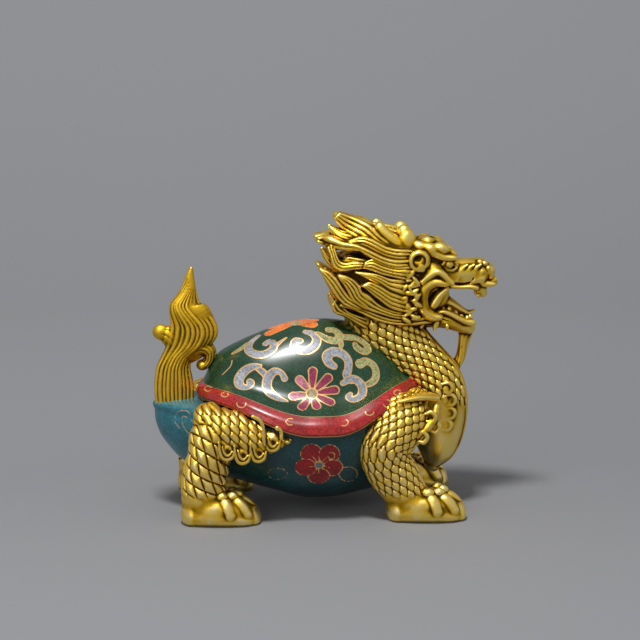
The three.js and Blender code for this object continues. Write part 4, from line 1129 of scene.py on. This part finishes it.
def gilt_material():
    """Antique gilding: dark in the hollows with patina and painted shade, bright on the edges, worn to pale
    cream low on the legs.
    """
    material, tree, shader = new_material("gilt")
    link = tree.links.new
    fine = node(tree, "ShaderNodeAttribute", attribute_name="fine_recess").outputs["Fac"]
    broad = node(tree, "ShaderNodeAttribute", attribute_name="broad_recess").outputs["Fac"]
    where = node(tree, "ShaderNodeTexCoord").outputs["Object"]
    cloud = noise(tree, where, Scale=330.0, Detail=4.0, Roughness=0.6)
    grain = noise(tree, where, Scale=2300.0, Detail=3.0)
    # Patina and painted shade: the stored recesses, fine and broad, darken the hollows to near black.
    depth = maths(tree, "MULTIPLY_ADD", broad, 0.48, -0.11)
    depth = maths(tree, "MULTIPLY_ADD", fine, 0.52, depth)
    depth = maths(tree, "MULTIPLY_ADD", cloud, 0.22, depth)
    colour = ramp(tree, depth, GILT_PATINA_AND_PAINTED_SHADE)
    # Worn places: what stands proud low on the legs and feet, broken up by the noise.
    height = node(tree, "ShaderNodeSeparateXYZ")
    link(where, height.inputs[0])
    low = map_range(tree, height.outputs["Z"], WEAR_HEIGHTS)
    patches = ramp(tree, cloud, [(0.45, 0.1), (0.64, 0.85)])
    proud = ramp(tree, fine, [(0.30, 1.0), (0.49, 0.0)])
    worn = maths(tree, "MULTIPLY", maths(tree, "MULTIPLY", patches, low), proud)
    link(mixed(tree, worn, colour, WORN_GILT), shader.inputs["Base Color"])
    link(ramp(tree, depth, [(0.25, 0.38), (0.7, 0.65)]), shader.inputs["Roughness"])
    shader.inputs["Metallic"].default_value = 1.0
    bump(tree, shader, grain, 0.35, 0.00012)
    return material


def enamel_material(name, wire_half, speckle):
    """Glossy speckled enamel in each cell, with wire where the stored distance to it is small."""
    material, tree, shader = new_material(name)
    link = tree.links.new
    colour = node(tree, "ShaderNodeAttribute", attribute_name="enamel").outputs["Color"]
    wire = node(tree, "ShaderNodeAttribute", attribute_name="wire").outputs["Fac"]
    where = node(tree, "ShaderNodeTexCoord").outputs["Object"]
    grain = noise(tree, where, Scale=1400.0, Detail=3.0)
    cloud = noise(tree, where, Scale=160.0, Detail=3.0)
    specks = map_range(tree, grain, NOISE_RANGE, (1 - speckle, 1 + speckle * 1.4))
    shades = map_range(tree, cloud, NOISE_RANGE, (0.75, 1.3))
    body = node(tree, "ShaderNodeVectorMath", operation="SCALE")
    link(colour, body.inputs[0])
    link(maths(tree, "MULTIPLY", specks, shades), body.inputs["Scale"])
    edge = map_range(tree, wire, (wire_half - WIRE_BLUR, wire_half + WIRE_BLUR), (1.0, 0.0))
    link(mixed(tree, edge, body.outputs["Vector"], WIRE), shader.inputs["Base Color"])
    link(maths(tree, "MULTIPLY", edge, 0.6), shader.inputs["Metallic"])
    for key, value in ENAMEL_GLOSS:
        shader.inputs[key].default_value = value
    bump(tree, shader, cloud, 0.12, 0.0002)
    return material


# Studio, in metres: a floor that bends up into a wall behind.

FLOOR_HALF_WIDTH = 1.6
FLOOR_FRONT = -1.2
FLOOR_BACK = 1.3
WALL_HEIGHT = 1.6
BEND = 0.9
BEND_STEPS = 12
# The backdrop's grey along Y: painted light, darker on the floor in front and under the figure, paler on the
# bend and up the wall behind.
FLOOR_GREY_AND_PAINTED_LIGHT = [(0.05, (0.225, 0.227, 0.235)), (0.35, (0.31, 0.312, 0.32)), (1.0, (0.47, 0.473, 0.485))]
WORLD_COLOUR = (0.55, 0.56, 0.58, 1)
WORLD_STRENGTH = 0.8
LAMP_AIM = (0, 0, 0.05)
# Each lamp's place, its width and height, and its power in watts.
LAMPS = [("key", (-0.10, -0.26, 0.72), (0.15, 0.11), 5.0), ("fill", (-0.6, -0.9, 0.5), (0.4, 0.4), 1.6)]
LENS_MM = 130.5
SENSOR_MM = 36


def studio():
    floor_mesh = bpy.data.meshes.new("floor")
    profile = [(FLOOR_FRONT, 0.0), (FLOOR_BACK - BEND, 0.0)]
    for i in range(1, BEND_STEPS + 1):
        angle = math.pi / 2 * i / BEND_STEPS
        profile.append((FLOOR_BACK - BEND + BEND * math.sin(angle), BEND - BEND * math.cos(angle)))
    profile.append((FLOOR_BACK, WALL_HEIGHT))
    points = [(x, y, z) for y, z in profile for x in (-FLOOR_HALF_WIDTH, FLOOR_HALF_WIDTH)]
    faces = [(2 * i, 2 * i + 1, 2 * i + 3, 2 * i + 2) for i in range(len(profile) - 1)]
    floor_mesh.from_pydata(points, [], faces)
    smooth_shaded(floor_mesh)
    floor = added("floor", floor_mesh)
    material, tree, shader = new_material("floor_grey_and_painted_light")
    # Painted light: the grey turns paler from the floor up the wall behind.
    spot = node(tree, "ShaderNodeSeparateXYZ")
    tree.links.new(node(tree, "ShaderNodeTexCoord").outputs["Object"], spot.inputs[0])
    tree.links.new(ramp(tree, spot.outputs["Y"], FLOOR_GREY_AND_PAINTED_LIGHT), shader.inputs["Base Color"])
    shader.inputs["Roughness"].default_value = 0.8
    shader.inputs["Specular IOR Level"].default_value = 0.2
    floor.data.materials.append(material)

    world = bpy.data.worlds.new("studio")
    bpy.context.scene.world = world
    world.use_nodes = True
    background = world.node_tree.nodes["Background"]
    background.inputs["Color"].default_value = WORLD_COLOUR
    background.inputs["Strength"].default_value = WORLD_STRENGTH
    for name, spot, size, power in LAMPS:
        light = bpy.data.lights.new(name, "AREA")
        light.shape = "RECTANGLE"
        light.size, light.size_y = size
        light.energy = power
        lamp = added(name, light)
        lamp.location = spot
        lamp.rotation_euler = (Vector(LAMP_AIM) - Vector(spot)).to_track_quat("-Z", "Y").to_euler()


def camera():
    data = bpy.data.cameras.new("camera")
    data.lens = LENS_MM
    data.sensor_width = SENSOR_MM
    data.clip_start = 0.01
    obj = added("camera", data)
    obj.location = in_frame(EYE)
    obj.rotation_euler = (-Vector(BACK)).to_track_quat("-Z", "Y").to_euler()
    bpy.context.scene.camera = obj


def build():
    gilt = gilt_material()
    for make, end in ((front_leg, "front"), (rear_leg, "rear")):
        leg = make()
        other = mirrored_copy(leg, f"{end}_left_leg_cast")
        place(leg, f"{end}_right_leg", gilt)
        place(other, f"{end}_left_leg", gilt)
    place(tail(), "tail", gilt)
    place(head_and_neck(), "head_and_neck", gilt)
    shell_enamel = enamel_material("shell_enamel", wire_half=0.21, speckle=0.42)
    place(carapace(), "carapace", shell_enamel)
    belly_enamel = enamel_material("belly_enamel", wire_half=0.17, speckle=0.25)
    place(belly(), "belly", belly_enamel)


build()
studio()
camera()
bpy.context.scene.view_settings.view_transform = "Standard"
